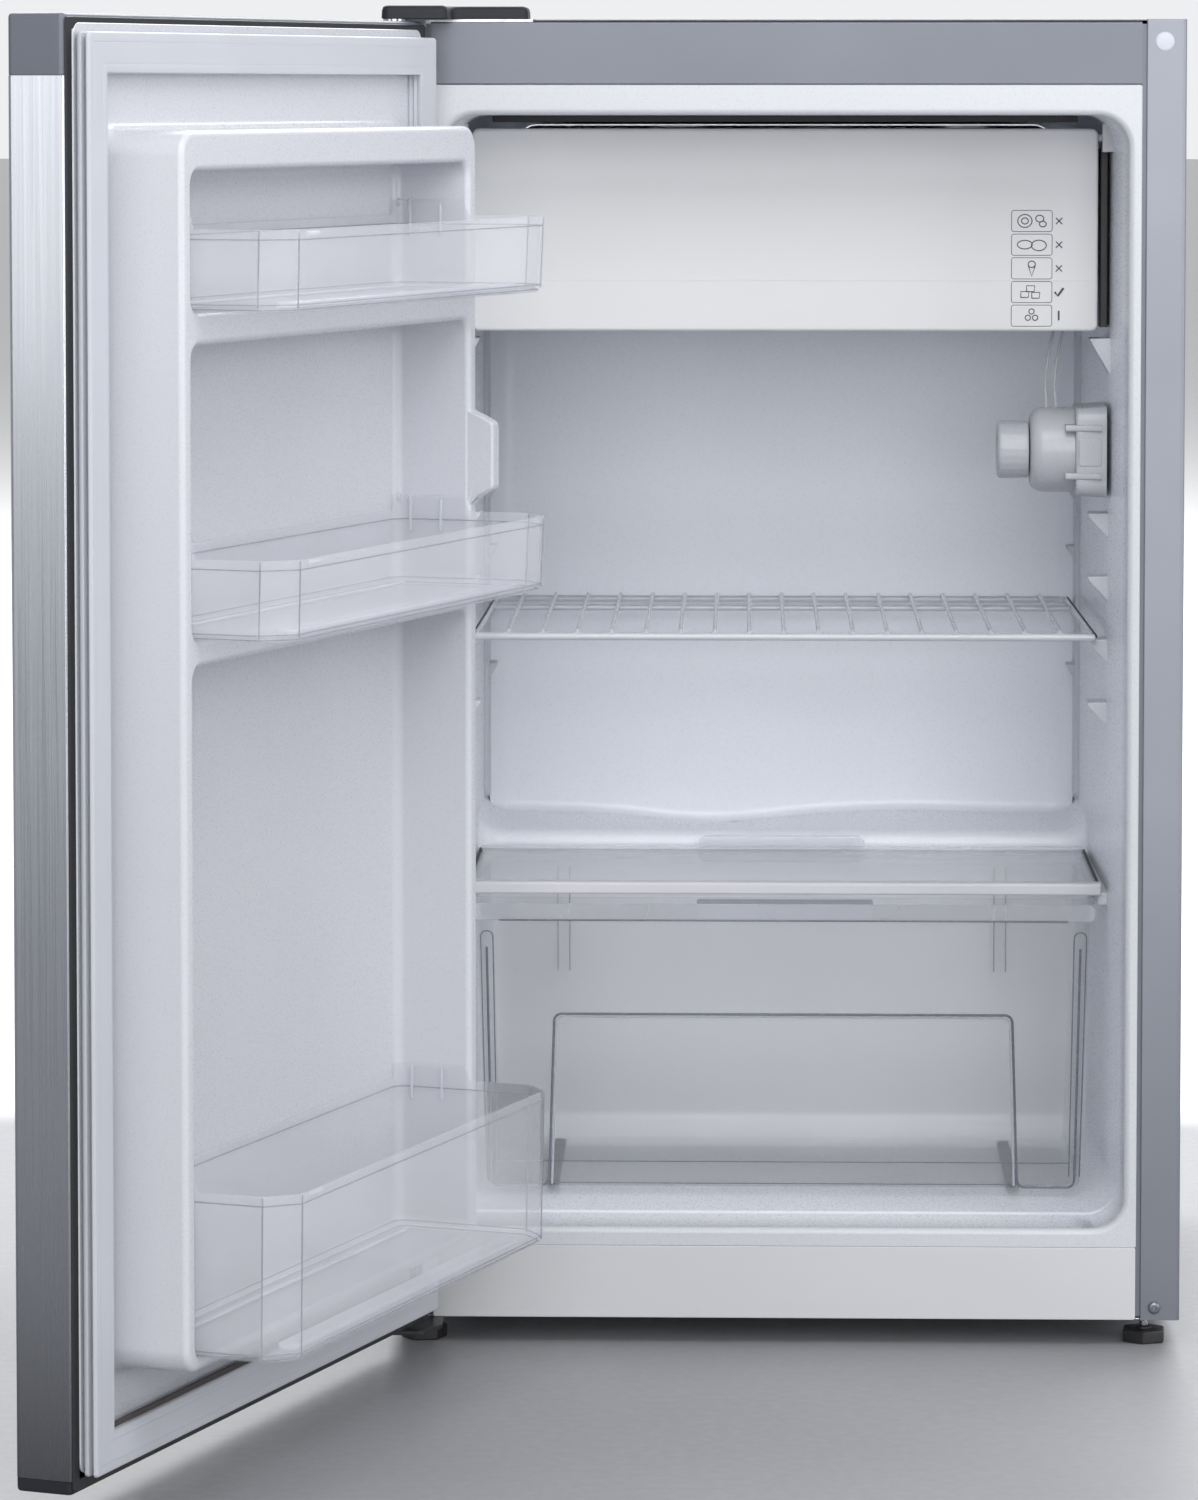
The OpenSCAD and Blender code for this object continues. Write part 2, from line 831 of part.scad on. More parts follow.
module door_mouth(y0, y1) {
    translate([-door_half + skin_return, y0]) square([door_w - 2 * skin_return, y1 - y0]);
}

module door_skin() {
    color(brushed) on_door() level(skin_z0, skin_z1) difference() {
        door_profile(0);
        door_profile(sheet);
        door_mouth(body_back - 2 * sheet, body_back + over);
    }
}

module door_top_cap() {
    color(dark_plastic) on_door() difference() {
        level(skin_z1, door_z1) door_profile(0);
        level(skin_z1 - over, door_z1 - cap_wall) difference() {
            door_profile(cap_wall);
            translate([hinge_x, hinge_y]) circle(pin_r + bush_wall + 3);
        }
        rod_z(skin_z1 - over, door_z1 + over, hinge_x, hinge_y, pin_r + bush_wall);
    }
}

module door_bottom_cap() {
    color(dark_plastic) on_door() difference() {
        level(door_z0, skin_z0) door_profile(0);
        rod_z(door_z0 - over, skin_z0 + over, hinge_x, hinge_y, pin_r + bush_wall);
    }
}

// Bushes for the hinge pins, at both ends of the door
module door_bushes() {
    color(white_plastic) on_door() difference() {
        union() {
            rod_z(door_z0, door_z0 + pin_depth + 4, hinge_x, hinge_y, pin_r + bush_wall);
            rod_z(door_z1 - pin_depth - 4, door_z1, hinge_x, hinge_y, pin_r + bush_wall);
        }
        rod_z(door_z0 - over, door_z0 + pin_depth + 2, hinge_x, hinge_y, pin_r + running);
        rod_z(door_z1 - pin_depth - 2, door_z1 + over, hinge_x, hinge_y, pin_r + running);
    }
}

// The raised rails round the door liner and between its bays, shrunk by inset
module rail_outline(inset) {
    difference() {
        round_rect([-rail_x + inset, rail_z[0] + inset], [rail_x - inset, rail_z[1] - inset],
                   rail_r - inset);
        for (bay = bays)
            round_rect([-rail_in - inset, bay[0] - inset], [rail_in + inset, bay[1] + inset],
                       bay_r + inset);
    }
}

module door_foam() {
    color([0.95, 0.9, 0.7]) on_door() difference() {
        union() {
            level(skin_z0, skin_z1) difference() {
                door_profile(sheet);
                translate([-door_half, body_back - sheet]) square([door_w, 2]);
            }
            block([-door_half + skin_return, body_back - 2 * sheet, skin_z0],
                  [door_half - skin_return, body_back, skin_z1]);
            upright(body_back - over, rail_y - plate_t) rail_outline(plate_t);
        }
        rod_z(skin_z0 - over, door_z0 + pin_depth + 5, hinge_x, hinge_y, pin_r + bush_wall);
        rod_z(skin_z1 - over, skin_z1 + 5, hinge_x, hinge_y, pin_r + bush_wall);
    }
}

module door_liner() {
    color(white_plastic) on_door() {
        difference() {
            union() {
                upright(body_back, door_back)
                    round_rect([-door_plate_half, door_plate_z[0]],
                               [door_plate_half, door_plate_z[1]], 8);
                upright(body_back, rail_y) rail_outline(0);
            }
            upright(body_back - over, rail_y - plate_t) rail_outline(plate_t);
        }
        sideways(-rail_x, -rail_in - 1) polygon([
            [rail_y - 1, tab_z[0] - tab_slope], [rail_y + tab_slope, tab_z[0]],
            [rail_y + tab_reach, tab_z[0]], [rail_y + tab_reach, tab_z[1]],
            [rail_y + tab_slope, tab_z[1]], [rail_y - 1, tab_z[1] + tab_slope]
        ]);
    }
}

module gasket_ring(inset) {
    round_rect([-gasket_half + inset, gasket_z0 + inset], [gasket_half - inset, gasket_z1 - inset],
               max(gasket_r - inset, 3));
}

module door_gasket() {
    color(white_plastic) on_door() difference() {
        upright(door_back, gasket_face) gasket_ring(0);
        upright(door_back - over, gasket_face + over) gasket_ring(gasket_w);
        upright(door_back - over, gasket_face - magnet_t) difference() {
            gasket_ring(bellows_wall);
            gasket_ring(gasket_w - bellows_wall);
        }
    }
}

module gasket_magnets() {
    mid = gasket_w / 2;
    half = mid - bellows_wall - touch;
    y = [gasket_face - 2 * magnet_t - touch, gasket_face - magnet_t - touch / 2];
    color(black_plastic) on_door() {
        both_sides() block([gasket_half - mid - half, y[0], gasket_z0 + gasket_w + 4],
                           [gasket_half - mid + half, y[1], gasket_z1 - gasket_w - 4]);
        for (z = [gasket_z0 + mid, gasket_z1 - mid])
            block([-gasket_half + gasket_w + 4, y[0], z - half],
                  [gasket_half - gasket_w - 4, y[1], z + half]);
    }
}

// ---- Bins in the door ----

module bin_plan(inset) {
    x = bin_half - inset;
    cut = bin_corner - inset * (sqrt(2) - 1) * sqrt(2);
    polygon([
        [-x, bin_back + inset], [x, bin_back + inset], [x, bin_front - inset - cut],
        [x - cut, bin_front - inset], [cut - x, bin_front - inset], [-x, bin_front - inset - cut]
    ]);
}

// A bin's section across the door, with its lower edges cut to clear the bay's round corners
module bin_section(z, inset) {
    x = bin_half - inset;
    cut = bin_chamfer - inset * (2 - sqrt(2));
    polygon([
        [-x, z[1] + (inset > 0 ? over : 0)], [-x, z[0] + inset + cut], [cut - x, z[0] + inset],
        [x - cut, z[0] + inset], [x, z[0] + inset + cut], [x, z[1] + (inset > 0 ? over : 0)]
    ]);
}

module bin_body(z, inset) {
    intersection() {
        level(z[0], z[1] + 2 * over) bin_plan(inset);
        upright(bin_back, bin_front) bin_section(z, inset);
    }
}

module bin(z) {
    color(clear_plastic) on_door() {
        difference() {
            bin_body(z, 0);
            bin_body(z, bin_wall);
        }
        both_sides() block([bin_half - bin_wall, bin_back, z[1]], [bin_half, rail_y, z[1] + bin_ear]);
    }
}

module upper_bin() { bin(upper_bin_z); }
module middle_bin() { bin(middle_bin_z); }
module lower_bin() { bin(lower_bin_z); }

// ---- Shelves and crisper ----

module wire_shelf() {
    y0 = front + shelf_front + bar_r;
    y1 = y0 + shelf_depth - 2 * bar_r;
    z = wire_shelf_z + bar_r + touch;
    wire_z = z + bar_r + wire_r - wire_sink;
    slope = atan((shelf_half_front - shelf_half_back) / (y1 - y0));
    color(white_plastic) {
        rod_x(-shelf_half_front + 1, shelf_half_front - 1, y0, z, bar_r);
        for (y = [y1 - 14, y1])
            rod_x(-shelf_half_back + 1, shelf_half_back - 1, y, z, bar_r - 0.5);
        both_sides() translate([shelf_half_front - 2.4, y0, z]) rotate([0, 0, slope])
            rod_y(0, (y1 - y0) / cos(slope), 0, 0, bar_r - 0.2);
        for (k = [0:wire_count - 1])
            rod_y(y0 - 1, y1 + 1, (k - (wire_count - 1) / 2) * wire_pitch, wire_z, wire_r);
    }
}

module crisper_glass() {
    y0 = front + shelf_front + trim_t;
    y1 = y0 + glass_depth - 2 * trim_t;
    color([0.75, 0.85, 0.85, 0.5])
        block([-glass_half + 1, y0, glass_z[0]], [glass_half - 1, y1, glass_z[1]]);
}

// The plastic strips on the glass's front and rear edges; the rear one has a raised tab
module crisper_glass_trim() {
    y0 = front + shelf_front;
    y1 = y0 + glass_depth;
    mid = (glass_z[0] + glass_z[1]) / 2;
    color(white_plastic) {
        difference() {
            block([-glass_half, y0, mid - trim_h / 2],
                  [glass_half, y0 + trim_t + trim_lap, mid + trim_h / 2]);
            block([-glass_half - over, y0 + trim_t, glass_z[0]],
                  [glass_half + over, y0 + 2 * trim_t + trim_lap, glass_z[1]]);
            block([-glass_half - over, y0 + trim_t, 0], [glass_half + over, y1, glass_z[0]]);
        }
        difference() {
            union() {
                block([-glass_half + 1, y1 - trim_t - trim_lap, glass_z[0]],
                      [glass_half - 1, y1, glass_z[1] + 2]);
                block([-55, y1 - trim_t, glass_z[0]], [55, y1, glass_z[1] + 9]);
            }
            block([-glass_half, y1 - 2 * trim_t - trim_lap, glass_z[0] - over],
                  [glass_half, y1 - trim_t, glass_z[1]]);
        }
    }
}

module drawer_outline(inset) {
    z0 = drawer_z[0] + drawer_foot;
    polygon([
        [-drawer_bottom_half + inset, z0 + inset], [drawer_bottom_half - inset, z0 + inset],
        [drawer_top_half - drawer_rim + 3 - inset, drawer_z[1] + (inset > 0 ? over : 0)],
        [-drawer_top_half + drawer_rim - 3 + inset, drawer_z[1] + (inset > 0 ? over : 0)]
    ]);
}

module crisper_drawer() {
    y0 = front + shelf_front + 1;
    y1 = y0 + drawer_depth;
    color(clear_plastic) difference() {
        union() {
            upright(y0, y1) drawer_outline(0);
            block([-drawer_top_half, y0 - 1, drawer_z[1] - drawer_rim_h],
                  [drawer_top_half, y1, drawer_z[1]]);
            block([-drawer_top_half, y0 - 1, drawer_z[1] - drawer_lip_h],
                  [drawer_top_half, y0 + bin_wall, drawer_z[1]]);
            for (x = [-150, 150])
                block([x - 4, y0 + 10, drawer_z[0]], [x + 4, y1 - 10, drawer_z[0] + drawer_foot + 1]);
        }
        upright(y0 + bin_wall, y1 - bin_wall) drawer_outline(bin_wall);
    }
}

// ---- Levelling feet ----

module foot_stud(x) {
    color(bare_steel) rod_z(pad_h, stud_top, x, foot_y, stud_r);
}

module foot_pad(x, turn) {
    color(black_plastic) translate([x, foot_y, 0]) rotate([0, 0, turn]) {
        cylinder(h = pad_h - 4, r = pad_r, $fn = 6);
        translate([0, 0, pad_h - 4]) cylinder(h = 4, r = pad_r * 0.72);
    }
}

module foot_stud_left() { foot_stud(-foot_x); }
module foot_stud_right() { foot_stud(foot_x); }
module foot_pad_left() { foot_pad(-foot_x, pad_turn_left); }
module foot_pad_right() { foot_pad(foot_x, pad_turn_right); }

side_panel_left();
side_panel_right();
top_panel();
front_top_rail();
back_panel();
bottom_pan();
kick_plate();
compressor_bulkhead();
cabinet_foam();
liner();
flange_screws();
hole_plugs();
top_hinge_mount();
top_hinge_plate();
top_hinge_pin();
top_hinge_cover();
lower_hinge_bracket();
lower_hinge_pin();
hinge_washers();
evaporator();
evaporator_hangers();
flap_brackets();
thermostat_housing();
thermostat_switch();
capillary_tubes();
drain_tube();
compressor_base();
rear_feet();
compressor_shell();
compressor_grommets();
relay_cover();
suction_line();
discharge_line();
filter_drier();
condenser();
condenser_brackets();
evaporation_tray();
cord_gland();
door_skin();
door_top_cap();
door_bottom_cap();
door_foam();
door_liner();
door_gasket();
gasket_magnets();
door_bushes();
upper_bin();
middle_bin();
lower_bin();
freezer_flap();
wire_shelf();
crisper_glass();
crisper_glass_trim();
crisper_drawer();
thermostat_dial();
foot_stud_left();
foot_stud_right();
foot_pad_left();
foot_pad_right();
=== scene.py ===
import json
import math

import bmesh
import bpy
from mathutils import Matrix, Vector


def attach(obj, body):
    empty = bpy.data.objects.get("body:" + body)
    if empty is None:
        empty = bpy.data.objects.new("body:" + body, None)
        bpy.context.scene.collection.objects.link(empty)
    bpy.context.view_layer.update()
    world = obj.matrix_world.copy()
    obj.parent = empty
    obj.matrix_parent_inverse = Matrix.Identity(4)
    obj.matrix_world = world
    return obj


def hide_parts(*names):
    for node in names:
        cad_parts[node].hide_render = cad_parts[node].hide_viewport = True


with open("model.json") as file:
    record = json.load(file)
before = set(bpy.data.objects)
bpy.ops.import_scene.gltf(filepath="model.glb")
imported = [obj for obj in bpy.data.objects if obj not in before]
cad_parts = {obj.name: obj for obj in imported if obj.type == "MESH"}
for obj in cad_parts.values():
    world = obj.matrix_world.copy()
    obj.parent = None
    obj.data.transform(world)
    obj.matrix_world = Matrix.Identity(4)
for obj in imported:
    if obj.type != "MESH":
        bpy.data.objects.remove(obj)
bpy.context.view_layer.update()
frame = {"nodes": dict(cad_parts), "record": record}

# Shapes are drawn in millimetres, in the row's frame, and scaled to metres as they are made.
# Pieces on the door are drawn in the closed door's place, and carried by DOOR to where it stands open.
MM = 0.001
HALF_PI = math.pi / 2
TINY = 1e-6

# ---- Camera ----

# Its place, lens and slight tilt are fitted to the photograph, whose lens was shifted further than this one.
scene = bpy.context.scene
scene.view_settings.view_transform = "Standard"
camera_data = bpy.data.cameras.new("camera")
camera = bpy.data.objects.new("camera", camera_data)
scene.collection.objects.link(camera)
scene.camera = camera
camera_data.sensor_width = 36
camera_data.lens = 140.13
camera_data.shift_y = -0.20
camera.location = (-0.0228, -3.8901, 0.7963)
camera.rotation_euler = Vector((-0.02571, 1, -0.06237)).to_track_quat("-Z", "Y").to_euler()

# ---- The frame's places ----

joint_at = {j["name"]: Vector(j["pos_m"]) for j in frame["record"]["behaviour"]["joints"] if "pos_m" in j}
hinge = joint_at["door_hinge"]
PIVOT = hinge / MM
FLAP_PIN = joint_at["flap_hinge"] / MM
DIAL_AT = joint_at["thermostat_turn"] / MM
OPEN_DEG = 110
DOOR = (Matrix.Translation(hinge) @ Matrix.Rotation(math.radians(-OPEN_DEG), 4, "Z")
        @ Matrix.Translation(-hinge))


def cad(node, at=None):
    """Lowest and highest corner of a CAD node in millimetres, in the closed door's place if at is DOOR."""
    back = at.inverted() if at else Matrix.Identity(4)
    points = [back @ v.co / MM for v in frame["nodes"][node].data.vertices]
    return (Vector([min(p[i] for p in points) for i in range(3)]),
            Vector([max(p[i] for p in points) for i in range(3)]))


panel_lo, panel_hi = cad("side_panel_right")
liner_lo, liner_hi = cad("liner")
HALF_W = panel_hi.x
FRONT = panel_lo.y
BACK = panel_hi.y
CAB_TOP = panel_hi.z
BASE_Z = panel_lo.z


# ---- Materials ----

def set_inputs(node, **values):
    """Sets a node's inputs by name, with low lines for spaces."""
    for name, value in values.items():
        node.inputs[name.replace("_", " ")].default_value = value


def ramp(nodes, links, fac, stops):
    node = nodes.new("ShaderNodeValToRGB")
    links.new(fac, node.inputs["Fac"])
    elements = node.color_ramp.elements
    while len(elements) < len(stops):
        elements.new(0.5)
    for element, (position, colour) in zip(elements, stops):
        element.position = position
        element.color = (*colour, 1)
    return node.outputs["Color"]


def noise(nodes, links, coord, scale, detail=2.0, stretch=(1, 1, 1)):
    mapping = nodes.new("ShaderNodeMapping")
    set_inputs(mapping, Scale=stretch)
    links.new(coord, mapping.inputs["Vector"])
    node = nodes.new("ShaderNodeTexNoise")
    set_inputs(node, Scale=scale, Detail=detail)
    links.new(mapping.outputs["Vector"], node.inputs["Vector"])
    return node.outputs["Fac"]


def map_range(nodes, links, value, start, end, low=0.0, high=1.0, smooth=False):
    node = nodes.new("ShaderNodeMapRange")
    if smooth:
        node.interpolation_type = "SMOOTHSTEP"
    set_inputs(node, From_Min=start, From_Max=end, To_Min=low, To_Max=high)
    links.new(value, node.inputs["Value"])
    return node.outputs["Result"]


def axis_value(nodes, links, axis, space="Object"):
    """One coordinate of the point that is shaded, or of a direction in the world's light."""
    split = nodes.new("ShaderNodeSeparateXYZ")
    links.new(nodes.new("ShaderNodeTexCoord").outputs[space], split.inputs["Vector"])
    return split.outputs[axis]


def finish(name, colour, rough, tint=0.04, cloud=9, grain=700, stretch=(1, 1, 1), bump=0.1,
           depth=0.05, spread=0.06, **sockets):
    """A material whose colour drifts with broad noise, and whose roughness and bump follow a fine grain."""
    material = bpy.data.materials.new(name)
    material.use_nodes = True
    nodes, links = material.node_tree.nodes, material.node_tree.links
    shader = nodes["Principled BSDF"]
    coord = nodes.new("ShaderNodeTexCoord").outputs["Object"]
    broad = noise(nodes, links, coord, cloud)
    darker = [c * (1 - tint) for c in colour]
    lighter = [min(1, c * (1 + tint)) for c in colour]
    links.new(ramp(nodes, links, broad, [(0.35, darker), (0.65, lighter)]),
              shader.inputs["Base Color"])
    fine = noise(nodes, links, coord, grain, 3.0, stretch)
    links.new(map_range(nodes, links, fine, 0.3, 0.7, max(0.02, rough - spread), rough + spread),
              shader.inputs["Roughness"])
    bumper = nodes.new("ShaderNodeBump")
    set_inputs(bumper, Strength=bump, Distance=depth * MM)
    links.new(fine, bumper.inputs["Height"])
    links.new(bumper.outputs["Normal"], shader.inputs["Normal"])
    set_inputs(shader, **sockets)
    return material


def see_through(name, colour, rough, face_alpha, edge_alpha, **more):
    """A clear plastic or glass: nearly open face on, and denser at a grazing angle."""
    material = finish(name, colour, rough, **more)
    nodes, links = material.node_tree.nodes, material.node_tree.links
    facing = nodes.new("ShaderNodeLayerWeight")
    set_inputs(facing, Blend=0.5)
    stops = [(0.0, [face_alpha] * 3), (0.78, [face_alpha * 1.5] * 3), (1.0, [edge_alpha] * 3)]
    links.new(ramp(nodes, links, facing.outputs["Facing"], stops),
              nodes["Principled BSDF"].inputs["Alpha"])
    return material


def paint_shade_along(material, axis, start, end, tone):
    """Paints shade: darkens a material by tone at start, along an axis of the row, and leaves it as it is
    from end on.
    """
    nodes, links = material.node_tree.nodes, material.node_tree.links
    colour = nodes["Principled BSDF"].inputs["Base Color"]
    mix = nodes.new("ShaderNodeVectorMath")
    mix.operation = "SCALE"
    links.new(colour.links[0].from_socket, mix.inputs[0])
    links.new(map_range(nodes, links, axis_value(nodes, links, axis), start, end, tone),
              mix.inputs["Scale"])
    links.new(mix.outputs["Vector"], colour)


PAINT = {"grain": 1400, "bump": 0.06, "Metallic": 0.35}
LINER = {"tint": 0.012, "cloud": 4, "grain": 900, "bump": 0.05}
MOULDED = {"tint": 0.012, "grain": 1100, "bump": 0.05}
MATT = {"grain": 1500, "bump": 0.25}
CLEAR = {"grain": 60, "bump": 0.03, "spread": 0.03}

# A row holds the colour, the roughness, how dense a clear finish is face on and edge on, and other settings.
FINISHES = {
    "painted_steel": ((0.255, 0.27, 0.31), 0.42, PAINT),
    # A darker copy of the same paint, as painted shade on the recessed top rail and in the seam's gap.
    "rail_steel": ((0.165, 0.175, 0.205), 0.44, PAINT),
    "galvanised_steel": ((0.50, 0.51, 0.53), 0.42, {"tint": 0.18, "cloud": 60, "grain": 260,
                                                    "Metallic": 1.0}),
    "brushed_steel": ((0.60, 0.62, 0.67), 0.28, {"cloud": 5, "grain": 900, "stretch": (1, 1, 0.006),
                                                 "bump": 0.02, "spread": 0.045, "Metallic": 1.0}),
    "black_steel": ((0.018, 0.018, 0.021), 0.36, {"tint": 0.2, "cloud": 30, "grain": 900}),
    "bright_steel": ((0.66, 0.67, 0.70), 0.18, {"grain": 500, "Metallic": 1.0}),
    "aluminium": ((0.66, 0.68, 0.72), 0.36, {"tint": 0.08, "cloud": 25, "grain": 500,
                                             "stretch": (1, 0.03, 1), "Metallic": 1.0}),
    "copper": ((0.72, 0.36, 0.22), 0.28, {"tint": 0.2, "cloud": 40, "Metallic": 1.0}),
    "liner_plastic": ((0.565, 0.577, 0.62), 0.30, {**LINER, "Coat_Weight": 0.1}),
    # A lighter copy of the liner plastic, as painted light inside the compartment.
    "cavity_plastic": ((0.825, 0.845, 0.90), 0.30, LINER),
    "white_plastic": ((0.56, 0.565, 0.585), 0.38, {**MOULDED, "cloud": 6, "bump": 0.06}),
    "dark_plastic": ((0.125, 0.138, 0.168), 0.42, {**MATT, "tint": 0.06}),
    "cover_plastic": ((0.014, 0.016, 0.021), 0.55, {**MATT, "tint": 0.06, "Specular_IOR_Level": 0.3}),
    "black_plastic": ((0.014, 0.014, 0.017), 0.45, {**MATT, "tint": 0.15}),
    "clear_plastic": ((0.80, 0.82, 0.88), 0.06, 0.05, 0.75, CLEAR),
    "bin_plastic": ((0.80, 0.81, 0.87), 0.05, 0.16, 0.75, {"grain": 60, "bump": 0.02, "spread": 0.02}),
    "clear_rib": ((0.78, 0.80, 0.87), 0.12, 0.30, 0.9, CLEAR),
    # Painted shade for the dark look of the clear bins' edges.
    "clear_edge": ((0.30, 0.32, 0.38), 0.15, 0.42, 0.8, CLEAR),
    "grey_tint": ((0.42, 0.45, 0.52), 0.2, 0.35, 0.8, CLEAR),
    "shadow_line": ((0.13, 0.14, 0.17), 0.25, {"tint": 0.1, "grain": 300}),
    "flap_plastic": ((0.60, 0.605, 0.615), 0.36, {**MOULDED, "cloud": 5}),
    "print_ink": ((0.045, 0.045, 0.05), 0.5, {"tint": 0.1, "grain": 900}),
    "knob_plastic": ((0.44, 0.45, 0.485), 0.3, {**MOULDED, "cloud": 6}),
    "screw_steel": ((0.20, 0.21, 0.24), 0.34, {"tint": 0.1, "grain": 500, "Metallic": 0.8}),
    "grey_plug": ((0.52, 0.55, 0.62), 0.35, {"tint": 0.03, "grain": 900}),
    "safety_glass": ((0.72, 0.76, 0.79), 0.05, 0.06, 0.85, {"grain": 20, "bump": 0.01, "spread": 0.02}),
    "coated_wire": ((0.55, 0.56, 0.60), 0.24, {"tint": 0.02, "grain": 600, "Coat_Weight": 0.4}),
    "capillary_sleeve": ((0.40, 0.41, 0.44), 0.5, {"tint": 0.08, "cloud": 80}),
    "gasket_rubber": ((0.49, 0.505, 0.55), 0.55, {"tint": 0.02, "grain": 1800, "bump": 0.15}),
    "black_rubber": ((0.02, 0.02, 0.021), 0.6, {"tint": 0.15, "grain": 1500, "bump": 0.3}),
    "magnet": ((0.05, 0.042, 0.04), 0.6, {"tint": 0.15, "grain": 900}),
    "foam": ((0.87, 0.78, 0.48), 0.8, {"tint": 0.1, "cloud": 50, "grain": 300, "bump": 0.6, "depth": 0.4}),
}

MATERIALS = {}
for name, (*values, more) in FINISHES.items():
    make = see_through if len(values) == 4 else finish
    MATERIALS[name] = make(name, *values, **more)

# Painted shade, as in the photograph: darker towards the floor, for the dark floor that the steels reflect,
# and near the compartment's mouth.
paint_shade_along(MATERIALS["painted_steel"], "Z", 0.0, 0.34, 0.62)
paint_shade_along(MATERIALS["brushed_steel"], "Z", 0.0, 0.43, 0.13)
paint_shade_along(MATERIALS["cavity_plastic"], "Y", -0.232, -0.200, 0.66)


# ---- Outlines ----

def quarter(steps):
    """The angles of a quarter turn."""
    return [k * HALF_PI / steps for k in range(steps + 1)]


def circle(seg):
    """The cosines and sines of a whole turn."""
    return [(math.cos(2 * math.pi * k / seg), math.sin(2 * math.pi * k / seg)) for k in range(seg)]


def one_of(values, i):
    """The value at i of a list, or a single value as it is."""
    return values[i] if hasattr(values, "__len__") else values


def rect(x0, y0, x1, y1):
    return [(x0, y0), (x1, y0), (x1, y1), (x0, y1)]


def mirrored(side, a, b):
    """Two places on one side of the middle, lowest first."""
    return sorted((side * a, side * b))


def offset(corners, inset):
    """A closed outline with each edge moved inwards, by one distance or one each."""
    count = len(corners)
    lines = []
    for i in range(count):
        p, q = Vector(corners[i]), Vector(corners[(i + 1) % count])
        along = (q - p).normalized()
        lines.append((p + Vector((-along.y, along.x)) * one_of(inset, i), along))
    moved = []
    for (p, u), (q, v) in zip([lines[-1]] + lines[:-1], lines):
        cross = u.x * v.y - u.y * v.x
        if abs(cross) < TINY:
            moved.append(q.copy())
        else:
            w = q - p
            moved.append(p + u * ((w.x * v.y - w.y * v.x) / cross))
    return moved


def round_corner(p, a, b, radius, seg):
    """The arc that rounds a corner at p, whose sides run along a and b."""
    half = math.acos(max(-1.0, min(1.0, a.dot(b)))) / 2
    centre = p + (a + b).normalized() * (radius / math.sin(half))
    start = p + a * (radius / math.tan(half)) - centre
    end = p + b * (radius / math.tan(half)) - centre
    angle = math.atan2(start.x * end.y - start.y * end.x, start.dot(end))
    turns = [(math.cos(angle * k / seg), math.sin(angle * k / seg)) for k in range(seg + 1)]
    return [centre + Vector((start.x * c - start.y * s, start.x * s + start.y * c)) for c, s in turns]


def outline(corners, radii, inset=0.0, seg=6):
    """Points round a closed anticlockwise outline with round corners, as many at any inset."""
    moved = offset(corners, inset)
    count = len(moved)
    out = []
    for i, p in enumerate(moved):
        radius = one_of(radii, i)
        a, b = moved[i - 1] - p, moved[(i + 1) % count] - p
        turn = a.y * b.x - a.x * b.y
        if radius > 0:
            by = (one_of(inset, i - 1) + one_of(inset, i)) / 2
            radius = max(0.0, radius - by if turn > 0 else radius + by)
        if radius < TINY or abs(turn) < TINY:
            out += [p.copy() for _ in range(seg + 1)]
        else:
            out += round_corner(p, a.normalized(), b.normalized(), radius, seg)
    return out


def sheet_outline(points, radii, thick, seg=4):
    """The closed outline of a bent sheet, from the open line of its outer face."""
    def side(by):
        line = []
        count = len(points)
        for i in range(count):
            p = Vector(points[i])
            into = (p - Vector(points[i - 1])).normalized() if i else None
            out = (Vector(points[i + 1]) - p).normalized() if i < count - 1 else None
            if into is None or out is None:
                u = out if into is None else into
                line.append(p + Vector((-u.y, u.x)) * by)
                continue
            u, v = Vector((-into.y, into.x)), Vector((-out.y, out.x))
            mid = (u + v).normalized()
            turn = into.x * out.y - into.y * out.x
            radius = max(0.05, radii[i] - by if turn > 0 else radii[i] + by)
            line += round_corner(p + mid * (by / mid.dot(u)), -into, out, radius, seg)
        return line
    return side(0) + side(thick)[::-1]


PLANES = {"xy": lambda u, v, h: (u, v, h), "xz": lambda u, v, h: (u, h, v),
          "yz": lambda u, v, h: (h, u, v)}
ACROSS = {"x": "yz", "y": "xz", "z": "xy"}


def place(points, plane, height):
    return [PLANES[plane](p[0], p[1], height) for p in points]


# ---- Meshes ----

def loft(bm, rings, caps=True, wrap=False, closed=True):
    """Joins rings of points in turn, and the last to the first if wrap is set."""
    rows = [[bm.verts.new(p) for p in ring] for ring in rings]
    count = len(rows[0])
    for a, b in zip(rows, rows[1:] + ([rows[0]] if wrap else [])):
        for i in range(count if closed else count - 1):
            j = (i + 1) % count
            bm.faces.new((a[i], a[j], b[j], b[i]))
    if caps and not wrap:
        bm.faces.new(rows[0][::-1])
        bm.faces.new(rows[-1])
    return rows


def slab(bm, plane, corners, radii, low, high, bevel=0.6, seg=6, steps=3):
    """A flat piece between two heights, with rounded edges."""
    turn = quarter(steps)
    levels = [(low + bevel * (1 - math.sin(a)), bevel * (1 - math.cos(a))) for a in turn[::-1]]
    levels += [(high - bevel * (1 - math.sin(a)), bevel * (1 - math.cos(a))) for a in turn]
    loft(bm, [place(outline(corners, radii, i, seg), plane, h) for h, i in levels])


def frame_sweep(bm, plane, corners, radii, profile):
    """A closed section carried round an outline: each of its points is (inset, height)."""
    loft(bm, [place(outline(corners, radii, i, 8), plane, h) for i, h in profile], wrap=True)


def lathe(bm, centre, axis, profile, seg=48, wrap=False):
    """Turns (radius, height) points about an axis through centre, as a closed ring if wrap is set."""
    rings = []
    for r, h in profile:
        turned = place([(r * c, r * s) for c, s in circle(seg)], ACROSS[axis], h)
        rings.append([Vector(centre) + Vector(p) for p in turned])
    loft(bm, rings, wrap=wrap)


def rod(bm, centre, axis, radius, low, high, bevel=0.4, seg=24):
    lathe(bm, centre, axis, [(radius - bevel, low), (radius, low + bevel),
                             (radius, high - bevel), (radius - bevel, high)], seg)


